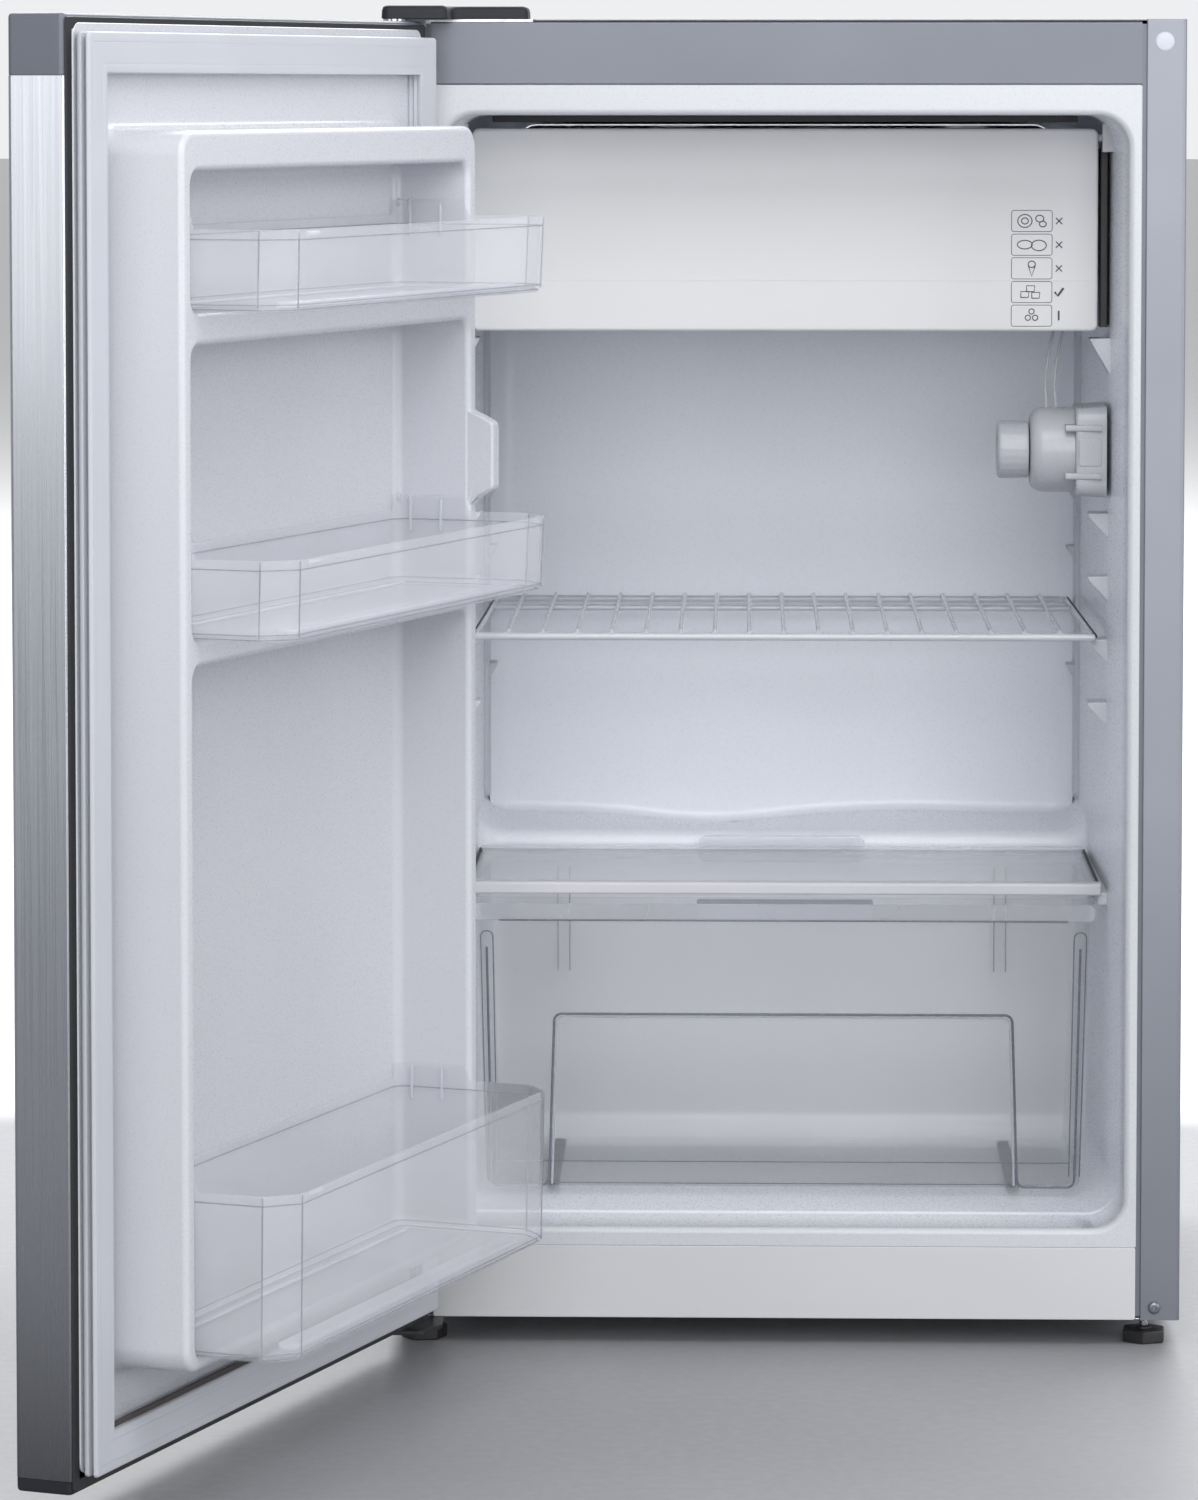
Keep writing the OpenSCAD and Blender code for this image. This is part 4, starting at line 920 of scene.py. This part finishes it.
def make_drawer():
    lo, hi = cad("crisper_drawer")
    floor = lo.z + 5
    lip_z = hi.z - 15
    front_y, rear_y = lo.y + 1, hi.y - 0.5
    bottom_half, top_half, rim_half = 193.0, 199.5, hi.x

    def level(z, wall, curl=0.0, grow=0.0):
        share = (z - floor) / (hi.z - floor)
        half = bottom_half + (top_half - bottom_half) * share + grow
        inset = [wall + curl, wall + curl, wall + curl + 3.0 * (1 - share), wall + curl]
        corners = rect(-half, front_y - min(grow, 1), half, rear_y)
        return [(x, y, z) for x, y in outline(corners, 9, inset)]

    turn = quarter(4)
    rings = [level(floor + 5 * (1 - math.cos(a)), 0, 5 * (1 - math.sin(a))) for a in turn]
    rim = rim_half - top_half
    rings += [level(hi.z - 5, 0), level(hi.z - 4.2, 0, 0, rim - 0.6), level(hi.z - 3.4, 0, 0, rim),
              level(hi.z - 0.7, 0, 0, rim), level(hi.z, 0, 0, rim - 0.7), level(hi.z, 1.2),
              level(hi.z - 0.9, 2)]
    rings += [level(floor + 2 + 5 * (1 - math.cos(a)), 2, 5 * (1 - math.sin(a))) for a in turn[::-1]]
    bm = bmesh.new()
    loft(bm, rings)
    for x in (-150, 150):
        slab(bm, "xy", rect(x - 4, lo.y + 11, x + 4, hi.y - 10), 3.5, lo.z + 1.5, floor + 0.4, 0.8)
    piece("drawer_box", bm, "clear_plastic", "crisper", ["crisper_drawer"], smooth=40)
    bm = bmesh.new()
    slab(bm, "xz", rect(-rim_half + 0.3, lip_z, rim_half - 0.3, hi.z - 4), 4, lo.y + 0.1, lo.y + 1.4, 0.5)
    panel_z, panel_foot, panel_top = 193.1, 150.0, 147.0
    panel = [(-panel_foot, floor + 2.6), (-panel_top, panel_z), (panel_top, panel_z),
             (panel_foot, floor + 2.6)]
    tube(bm, bend([(x, front_y - 0.3, z) for x, z in panel], 5), 0.8, 10)
    for x in (-152, -144, 144, 152):
        tube(bm, [(x, rear_y - 3.4, 196), (x, rear_y - 2.6, hi.z - 4)], 0.5, 8)
    piece("drawer_ribs", bm, "clear_rib", "crisper")
    bm = bmesh.new()
    slab(bm, "xz", rect(-56, lip_z + 1, 58, hi.z - 1), 1.5, lo.y + 1.5, lo.y + 2.3, 0.3)
    piece("drawer_grip", bm, "grey_tint", "crisper")
    bm = bmesh.new()
    base, top = floor + 1.2, panel_z + 1.8
    for side in (-1, 1):
        edge = [(0, top), (panel_top + 1.5, top), (panel_foot + 2, base), (189, base), (192.4, 238)]
        tube(bm, bend([(side * x, front_y - 0.5, z) for x, z in edge], 5), 0.8, 8)
        slot = [(185.5, base + 7), (188.5, 249), (196.5, 249), (192.4, base + 7)]
        tube(bm, bend([(side * x, front_y - 0.3, z) for x, z in slot], 3.8), 0.4, 8)
    for half, y, z, radius in ((148, front_y - 0.4, base + 1.6, 0.35), (186, front_y - 0.2, floor + 17, 0.35),
                               (184, lo.y + 0.2, lip_z + 0.2, 0.6)):
        tube(bm, [(-half, y, z), (half, y, z)], radius, 8)
    piece("drawer_outlines", bm, "shadow_line", "crisper")


make_drawer()


# ---- Freezer flap ----

def make_flap():
    half, low, high = 201.0, 639.0, 769.0
    y0 = cad("freezer_flap")[0].y
    bm = bmesh.new()
    levels = [(2.2, 2.6), (9.6, 2.2), (10, 1.8), (10, 0.4), (9.6, 0.0), (1.8, 0.0), (0.9, 0.25), (0.3, 0.9),
              (0, 1.9)]
    loft(bm, [place(outline(rect(-half, low, half, high), 4.5, i, 8), "xz", y0 + back) for back, i in levels])
    for side in (-1, 1):
        rod(bm, (0, FLAP_PIN.y, FLAP_PIN.z), "x", 2.5, *mirrored(side, 198.8, 207))
    piece("flap_panel", bm, "flap_plastic", "freezer_flap", ["freezer_flap"])
    bm = bmesh.new()
    crease_z = 671.5
    tube(bm, [(-half + 5, y0 + 0.12, crease_z), (half - 5, y0 + 0.12, crease_z)], 0.3, 8)
    piece("flap_crease", bm, "flap_plastic", "freezer_flap")
    make_pictograms(y0)


def make_freezer_gap_shade():
    """Painted shade: a black strip round the freezer's mouth, set behind the gap beside and over the flap so
    that the gap shows dark.
    """
    bm = bmesh.new()
    low, high, wide = FRONT + 117, FRONT + 172, wall_at(172) - 0.6
    for side in (-1, 1):
        x0, x1 = mirrored(side, wide - 5.5, wide)
        slab(bm, "xy", rect(x0, low, x1, high), 1, 641, OPEN_Z1 - 22, 0.5, 3, 2)
    slab(bm, "xy", rect(20 - wide, low, wide - 20, high), 1, OPEN_Z1 - 5, OPEN_Z1 - 0.6, 0.5, 3, 2)
    piece("freezer_gap_shade_strip", bm, "black_plastic", "cabinet")


def make_pictograms(y0):
    """Five plain outlined pictures of kinds of food, each with a cross, a tick or a bar beside it."""
    bm = bmesh.new()
    face = y0 + 0.05
    left, wide, high, pitch, top = 145.6, 26.0, 13.6, 15.2, 716.6
    pen = 0.36

    def line(points, radius=pen):
        tube(bm, [(x, face, z) for x, z in points], radius, 6, round_ends=False)

    def ring(x, z, rx, rz):
        tube(bm, [(x + rx * c, face, z + rz * s) for c, s in circle(16)], pen, 6, closed=True)

    for row in range(5):
        z = top - row * pitch
        corners = outline(rect(left, z - high, left + wide, z), 1.5, 0, 4)
        tube(bm, [(x, face, v) for x, v in corners[::-1]], 0.24, 6, closed=True)
        cx, cz = left + wide / 2, z - high / 2
        if row == 0:
            ring(cx - 4.5, cz, 4.6, 4.2)
            ring(cx - 4.5, cz, 2.2, 2.0)
            ring(cx + 5, cz + 1.5, 2.6, 2.2)
            ring(cx + 7, cz - 2, 2.2, 1.8)
        elif row == 1:
            ring(cx - 4.5, cz, 4.8, 2.8)
            ring(cx + 4.5, cz - 0.5, 4.8, 3.4)
        elif row == 2:
            ring(cx, cz + 2.6, 2.3, 2.1)
            line([(cx - 2.2, cz + 1.6), (cx, cz - 5), (cx + 2.2, cz + 1.6)])
        elif row == 3:
            shape = [(-2.4, -2), (2.4, -2), (2.8, 1.8), (-2.4, 1.8), (-2.4, -2)]
            for dx, dz in ((-4.5, -1.5), (2.5, -2), (-0.8, 2.2)):
                line([(cx + dx + x, cz + dz + v) for x, v in shape])
        else:
            for k in range(3):
                a = 2 * math.pi * k / 3 + HALF_PI
                ring(cx + 2.7 * math.cos(a), cz + 2.7 * math.sin(a), 1.7, 1.7)
        mark = left + wide + 4.4
        if row < 3:
            line([(mark - 2, cz - 2), (mark + 2, cz + 2)], 0.4)
            line([(mark - 2, cz + 2), (mark + 2, cz - 2)], 0.4)
        elif row == 3:
            line([(mark - 2.6, cz), (mark - 0.6, cz - 2.4), (mark + 3, cz + 2.6)], 0.8)
        else:
            line([(mark, cz - 3), (mark, cz + 3.2)], 0.6)
    piece("flap_pictograms", bm, "print_ink", "freezer_flap")


make_flap()
make_freezer_gap_shade()


# ---- Thermostat ----

def make_thermostat():
    stat_y, stat_z = DIAL_AT.y, DIAL_AT.z
    centre = (0, stat_y, stat_z)
    bm = bmesh.new()
    profile = [(6, 159), (20.5, 159), (23.2, 159.7), (25.2, 161.2), (26.7, 163.6), (27.4, 166.6), (27.5, 170),
               (27.5, 188), (27.2, 190), (27.2, 192)]
    lathe(bm, centre, "x", profile, 64)
    piece("thermostat_dome", bm, "knob_plastic", "cabinet", ["thermostat_housing"])
    bm = bmesh.new()
    rings = []
    for x, grow, radius in ((187.5, -2.0, 7), (188.2, -0.8, 8), (189.5, 0.0, 8), (206, 1.0, 9),
                            (207.4, 1.4, 9)):
        half_y, half_z = 31 + grow, 28.5 + grow
        flat = rect(stat_y - half_y, stat_z - half_z, stat_y + half_y, stat_z + half_z)
        rings.append(place(outline(flat, radius), "yz", x))
    loft(bm, rings)
    piece("thermostat_base", bm, "knob_plastic", "cabinet")
    bm = bmesh.new()
    for z in (stat_z + 15.5, stat_z - 15.5):
        rings = []
        for x, grow in ((181, 0), (189, 0.2), (204, 3.5)):
            flat = rect(stat_y - 31.5 - grow, z - 2.2, stat_y - 20, z + 2.2)
            rings.append(place(outline(flat, 1.4, 0, 4), "yz", x))
        loft(bm, rings)
    slab(bm, "xz", rect(189.5, stat_z - 9, 204.5, stat_z + 9), 2, stat_y - 32.2, stat_y - 30, 0.6)
    piece("thermostat_cover_ribs", bm, "knob_plastic", "cabinet")
    make_dial(centre)
    bm = bmesh.new()
    for gap in (0, 6):
        path = [(170 + gap, stat_y, stat_z + 27.3), (169 + gap, stat_y + 0.5, stat_z + 42),
                (171 + gap, stat_y + 1.5, stat_z + 60), (176 + gap, stat_y + 1, stat_z + 84),
                (178 + gap, stat_y, stat_z + 107)]
        tube(bm, bend(path, 26, 5), 0.95, 10)
    piece("capillary_pair", bm, "capillary_sleeve", "cabinet", ["capillary_tubes"])


def make_dial(centre):
    """The knob, with a fluted rim: each row is (x, radius, how deep the flutes are)."""
    _, stat_y, stat_z = centre
    bm = bmesh.new()
    rows = ((158.2, 17.2, 0), (158.0, 18.0, 0), (157.0, 18.4, 0), (156.5, 18.4, 0.08), (142, 18.7, 0.14),
            (140, 18.6, 0.14), (138.9, 18.0, 0.08), (138.3, 17.0, 0), (138.0, 15.6, 0), (138.0, 14.2, 0),
            (139.1, 13.4, 0), (139.1, 5.5, 0), (138.6, 5, 0), (138.6, 0.02, 0))
    rings = []
    for x, radius, deep in rows:
        reach = [radius - (deep if k % 6 < 3 else 0) for k in range(144)]
        rings.append([(x, stat_y + r * c, stat_z + r * s) for r, (c, s) in zip(reach, circle(144))])
    loft(bm, rings)
    slab(bm, "yz", rect(stat_y - 0.7, stat_z + 8, stat_y + 0.7, stat_z + 16), 0.6, 137.9, 139.6, 0.3, 3, 2)
    rod(bm, centre, "x", 4, 158, 172)
    piece("dial_knob", bm, "knob_plastic", "dial", ["thermostat_dial"])


make_thermostat()


# ---- Feet and lower hinge ----

def make_foot(name, turn):
    """A foot: a six-sided pad with a round hub, and its threaded stud. The turn is in degrees."""
    lo, hi = cad("foot_pad_" + name)
    x, y = (lo.x + hi.x) / 2, (lo.y + hi.y) / 2
    sides, sixth, hex_top = 48, math.pi / 3, 8.0
    start = math.radians(turn) + sixth / 2
    bm = bmesh.new()
    rings = []
    for r, z in ((14.2, 0.0), (15.0, 0.9), (15.0, 7.0), (14.2, hex_top), (5.2, 8.3), (4.9, 9.3), (4.5, 9.6)):
        ring = []
        for k in range(sides):
            a = 2 * math.pi * k / sides
            flat = math.cos(sixth / 2) / math.cos((a + sixth / 2) % sixth - sixth / 2)
            reach = r * min(flat, 0.985) if z <= hex_top else r
            ring.append((x + reach * math.cos(a + start), y + reach * math.sin(a + start), z))
        rings.append(ring)
    loft(bm, rings)
    piece("foot_pad_" + name + "_moulding", bm, "black_plastic", name + "_foot", ["foot_pad_" + name])
    bm = bmesh.new()
    profile = [(2.2, 9.2)]
    for k in range(26):
        z = 9.4 + k
        profile += [(2.3, z + 0.1), (2.95, z + 0.5), (2.95, z + 0.6), (2.3, z + 1.0)]
    profile.append((2.2, 36.0))
    lathe(bm, (x, y, 0), "z", profile, 20)
    piece("foot_stud_" + name + "_thread", bm, "bright_steel", name + "_foot", ["foot_stud_" + name])


make_foot("left", 8)
make_foot("right", 24)


def make_lower_hinge():
    lo, hi = cad("lower_hinge_bracket")
    pin = (PIVOT.x, PIVOT.y, 0)
    bm = bmesh.new()
    corners = [(lo.x, lo.y), (hi.x - 12, lo.y), (hi.x, lo.y + 20), (hi.x, hi.y), (lo.x, hi.y)]
    slab(bm, "xy", corners, [4, 4, 6, 4, 4], lo.z, lo.z + 3, 0.6)
    rod(bm, (PIVOT.x + 2, PIVOT.y, 0), "z", 8, lo.z + 2.5, hi.z, 0.8, 32)
    piece("hinge_bracket", bm, "black_steel", "cabinet", ["lower_hinge_bracket"])
    bm = bmesh.new()
    head, top = lo.z - 1.5, 39
    lathe(bm, pin, "z", [(4.0, head), (5.0, head + 0.6), (5.0, lo.z), (3.0, lo.z), (3.0, top - 0.8),
                         (2.2, top)], 32)
    piece("hinge_pin_lower", bm, "bright_steel", "cabinet", ["lower_hinge_pin"])
    bm = bmesh.new()
    lo, hi = cad("hinge_washers")
    for z0, z1 in ((lo.z, 22.7), (hi.z - 1.7, hi.z)):
        lathe(bm, pin, "z", [(3.05, z0), (6.7, z0), (7.0, z0 + 0.3), (7.0, z1 - 0.3), (6.7, z1), (3.05, z1)],
              32, wrap=True)
    piece("washers", bm, "bright_steel", "cabinet", ["hinge_washers"])


make_lower_hinge()


def make_screws_and_plugs():
    bm = bmesh.new()
    head = [(0.02, -1.0), (1.0, -0.9), (1.6, -1.55), (2.6, -1.5), (3.5, -1.1), (4.0, -0.3), (4.0, 0),
            (1.9, 0.1), (1.9, 9)]
    for side in (-1, 1):
        lathe(bm, (side * (HALF_W - 16), FRONT, BASE_Z + 8), "y", head, 32)
    piece("screws", bm, "screw_steel", "cabinet", ["flange_screws"])
    bm = bmesh.new()
    plug = [(0.02, -0.8), (4.6, -0.75), (5.6, -0.45), (6.0, 0), (3.4, 0.1), (3.3, 5)]
    lathe(bm, (HALF_W - 14, FRONT, CAB_TOP - 14), "y", plug, 32)
    piece("plugs", bm, "grey_plug", "cabinet", ["hole_plugs"])


make_screws_and_plugs()


# ---- Door liner's tab ----

def make_liner_tab():
    """The small tab on the hinge-side rail, which runs out of the rail in hollow curves."""
    bm = bmesh.new()
    z0, z1, tip, root = 543.0, 597.0, RAIL_Y + 15, RAIL_Y - 3.5
    corners = [(root, z0 - 9), (root + 2.2, z0 - 3), (root + 9, z0 + 3), (tip, z0 + 8), (tip, z1 - 6),
               (root + 10, z1 - 1.5), (root + 4, z1 + 1), (root, z1 + 6)]
    radii = [1, 6, 8, 4, 4, 5, 4, 1]
    loft(bm, [place(outline(corners, radii, inset), "yz", x) for x, inset in
              ((-RAIL_X + 0.6, 1.2), (-RAIL_X + 1.8, 0), (-RAIL_IN - 1.8, 0), (-RAIL_IN - 0.6, 1.2))])
    piece("door_liner_tab", bm, "liner_plastic", "door", at=DOOR)


make_liner_tab()


# ---- Freezer compartment's fittings ----

def make_evaporator():
    lo, hi = cad("evaporator")
    refine("evaporator", "cabinet", 0.5)
    low, high, bulge = lo.y + 22, hi.y - 18, 1.9

    def channel(lanes, radius):
        """A bulge in the sheet that runs along each (x, z) lane in turn, to the rear and back."""
        path = []
        for k, (x, z) in enumerate(lanes):
            ends = (low, high) if k % 2 == 0 else (high, low)
            path += [(x, ends[0], z), (x, ends[1], z)]
        tube(bm, bend(path, radius), bulge, 10)

    bm = bmesh.new()
    for z in (lo.z + bulge, hi.z - bulge):
        channel([(-140 + k * 280 / 6, z) for k in range(7)], 14)
    for side in (-1, 1):
        channel([(side * (hi.x - bulge), lo.z + 24 + k * (hi.z - lo.z - 48) / 3) for k in range(4)], 10)
    piece("evaporator_channels", bm, "aluminium", "cabinet")


make_evaporator()


# ---- Back and machine compartment ----

def make_back():
    lo, hi = cad("back_panel")
    bm = bmesh.new()
    slab(bm, "xz", rect(lo.x, lo.z, hi.x, hi.z), 2, lo.y, hi.y, 0.3, 3, 2)
    for z in (lo.z + 60, hi.z - 60):
        slab(bm, "xz", rect(-190, z - 9, 190, z + 9), 8.5, hi.y - 0.2, BACK - 0.1, 0.6, 6, 2)
    piece("rear_sheet", bm, "galvanised_steel", "cabinet", ["back_panel"])
    bm = bmesh.new()
    head = [(4.0, hi.y - 0.2 - BACK), (4.0, -0.4), (3.4, 0.15), (1.6, 0.2), (1.4, 0.85), (0.02, 0.9)]
    for side in (-1, 1):
        for k in range(6):
            z = lo.z + 18 + k * (hi.z - lo.z - 36) / 5
            lathe(bm, (side * (hi.x - 9), BACK, z), "y", head, 20)
    piece("rear_screws", bm, "bright_steel", "cabinet")


make_back()


def make_compressor():
    """The compressor's shell, and the welded seam round its widest part."""
    lo, hi = cad("compressor_shell")
    refine("compressor_shell", "cabinet", 0)
    centre = (lo + hi) / 2
    near = [v.co / MM - centre for v in frame["nodes"]["compressor_shell"].data.vertices
            if abs(v.co.z / MM - centre.z) < 30]
    turn = circle(72)
    reach = [max(p.x * c + p.y * s for p in near) for c, s in turn]
    half_x = max(r * abs(c) for r, (c, s) in zip(reach, turn)) - 1
    half_y = max(r * abs(s) for r, (c, s) in zip(reach, turn)) - 1
    bm = bmesh.new()
    tube(bm, [(centre.x + half_x * c, centre.y + half_y * s, centre.z) for c, s in turn], 1.6, 8, closed=True)
    piece("compressor_seam", bm, "black_steel", "cabinet")


make_compressor()


def make_foam():
    """The foam in the walls, as blocks that stay a few millimetres clear of the liner and the sheets."""
    bm = bmesh.new()
    near, step_y, rear = FRONT + 14, 88.0, BACK - 4
    low, step_z, top = BASE_Z + 12, 266.0, CAB_TOP - 4
    inner = OPEN_HALF + 6
    blocks = []
    for side in (-1, 1):
        x0, x1 = mirrored(side, inner + 1, HALF_W - 3)
        blocks += [(x0, near, x1, rear, step_z, top), (x0, near, x1, step_y, low, step_z - 1)]
    blocks += [(-inner, near, inner, rear, OPEN_Z1 + 6, top), (-inner, 181, inner, rear, step_z, OPEN_Z1 + 5),
               (-inner, near, inner, step_y, low, OPEN_Z0 - 6),
               (-inner, 71, inner, step_y, OPEN_Z0 - 5, step_z - 1),
               (-inner, step_y + 6, inner, 180, step_z, 276)]
    for x0, y0, x1, y1, z0, z1 in blocks:
        slab(bm, "xy", rect(x0, y0, x1, y1), 2, z0, z1, 1, 3)
    piece("foam_filling", bm, "foam", "cabinet", ["cabinet_foam"])
    bm = bmesh.new()
    lathe(bm, (-30, 160, 0), "z", [(3.4, 276), (3.4, 283.2), (3.9, 284), (5.6, 284), (6.4, 283), (6.4, 276)],
          28, wrap=True)
    piece("drain_rim", bm, "white_plastic", "cabinet")


make_foam()

for name, width in (("bottom_pan", 0.5), ("compressor_bulkhead", 0.5), ("top_hinge_mount", 0.4),
                    ("top_hinge_plate", 0.4), ("top_hinge_pin", 0.4), ("evaporator_hangers", 0.8),
                    ("flap_brackets", 0.8), ("thermostat_switch", 0.4),
                    ("compressor_base", 0.5), ("rear_feet", 0.8), ("compressor_grommets", 0.5),
                    ("relay_cover", 1.6), ("suction_line", 0), ("discharge_line", 0),
                    ("filter_drier", 0), ("condenser", 0), ("condenser_brackets", 0.6),
                    ("evaporation_tray", 0.9), ("cord_gland", 0.5)):
    refine(name, "cabinet", width)
refine("door_bushes", "door", 0.4)


def make_drain_tube():
    lo, hi = cad("drain_tube")
    top = 280.5
    bm = bmesh.new()
    profile = [(3.6, lo.z), (3.6, top), (4.6, top), (5.0, top - 0.6), (5.0, lo.z + 0.5), (4.6, lo.z)]
    lathe(bm, ((lo.x + hi.x) / 2, (lo.y + hi.y) / 2, 0), "z", profile, 28, wrap=True)
    piece("drain_pipe", bm, "black_plastic", "cabinet", ["drain_tube"])


make_drain_tube()


# ---- Floor and lights ----

def floor_paint():
    """Grey near the fridge, and nearly white from well behind it."""
    material = finish("floor_paint", (0.345, 0.352, 0.37), 0.4, tint=0.05, cloud=2.5, grain=120, bump=0.03)
    nodes, links = material.node_tree.nodes, material.node_tree.links
    colour = nodes["Principled BSDF"].inputs["Base Color"]
    mix = nodes.new("ShaderNodeMix")
    mix.data_type = "RGBA"
    fade = map_range(nodes, links, axis_value(nodes, links, "Y"), 0.53, 0.65, smooth=True)
    links.new(fade, mix.inputs["Factor"])
    links.new(colour.links[0].from_socket, mix.inputs["A"])
    set_inputs(mix, B=(0.86, 0.86, 0.87, 1))
    links.new(mix.outputs["Result"], colour)
    return material


def make_stage():
    bm = bmesh.new()
    half_m = 60
    bm.faces.new([bm.verts.new((x, y, 0)) for x, y in rect(-half_m, -half_m, half_m, half_m)])
    mesh = bpy.data.meshes.new("floor")
    bm.to_mesh(mesh)
    bm.free()
    floor = bpy.data.objects.new("floor", mesh)
    scene.collection.objects.link(floor)
    mesh.materials.append(floor_paint())
    world = bpy.data.worlds.new("studio")
    scene.world = world
    world.use_nodes = True
    nodes, links = world.node_tree.nodes, world.node_tree.links
    set_inputs(nodes["Background"], Color=(0.93, 0.94, 0.96, 1))
    links.new(map_range(nodes, links, axis_value(nodes, links, "Y", "Generated"), 0.75, 0.95, 0.42, 0.92),
              nodes["Background"].inputs["Strength"])


def add_light(name, place_at, target, size, energy):
    data = bpy.data.lights.new(name, "AREA")
    data.shape = "RECTANGLE"
    data.size, data.size_y = size
    data.energy = energy
    light = bpy.data.objects.new(name, data)
    scene.collection.objects.link(light)
    light.location = place_at
    light.rotation_euler = (Vector(target) - Vector(place_at)).to_track_quat("-Z", "Y").to_euler()


make_stage()
add_light("front", (0.2, -4.3, 1.35), (0, 0, 0.42), (2.6, 1.8), 66)
add_light("above", (0.2, -1.5, 1.75), (0, 0.05, 0.3), (1.2, 0.7), 13)
add_light("right", (2.6, -1.6, 1.2), (-0.3, -0.4, 0.5), (1.6, 1.8), 34)
add_light("left_card", (-2.35, -2.5, 1.25), (-0.4, -0.7, 0.8), (1.2, 1.5), 8.5)
add_light("top", (0, 3.5, 3.5), (0, 3.2, 0), (6.0, 4.0), 480)

# ---- Finishes on the CAD nodes, for those that are shown ----

for subpart in frame["record"]["subparts"]:
    node = frame["nodes"][subpart["node"]]
    node.data.materials.clear()
    node.data.materials.append(MATERIALS[subpart["material_slot"]])
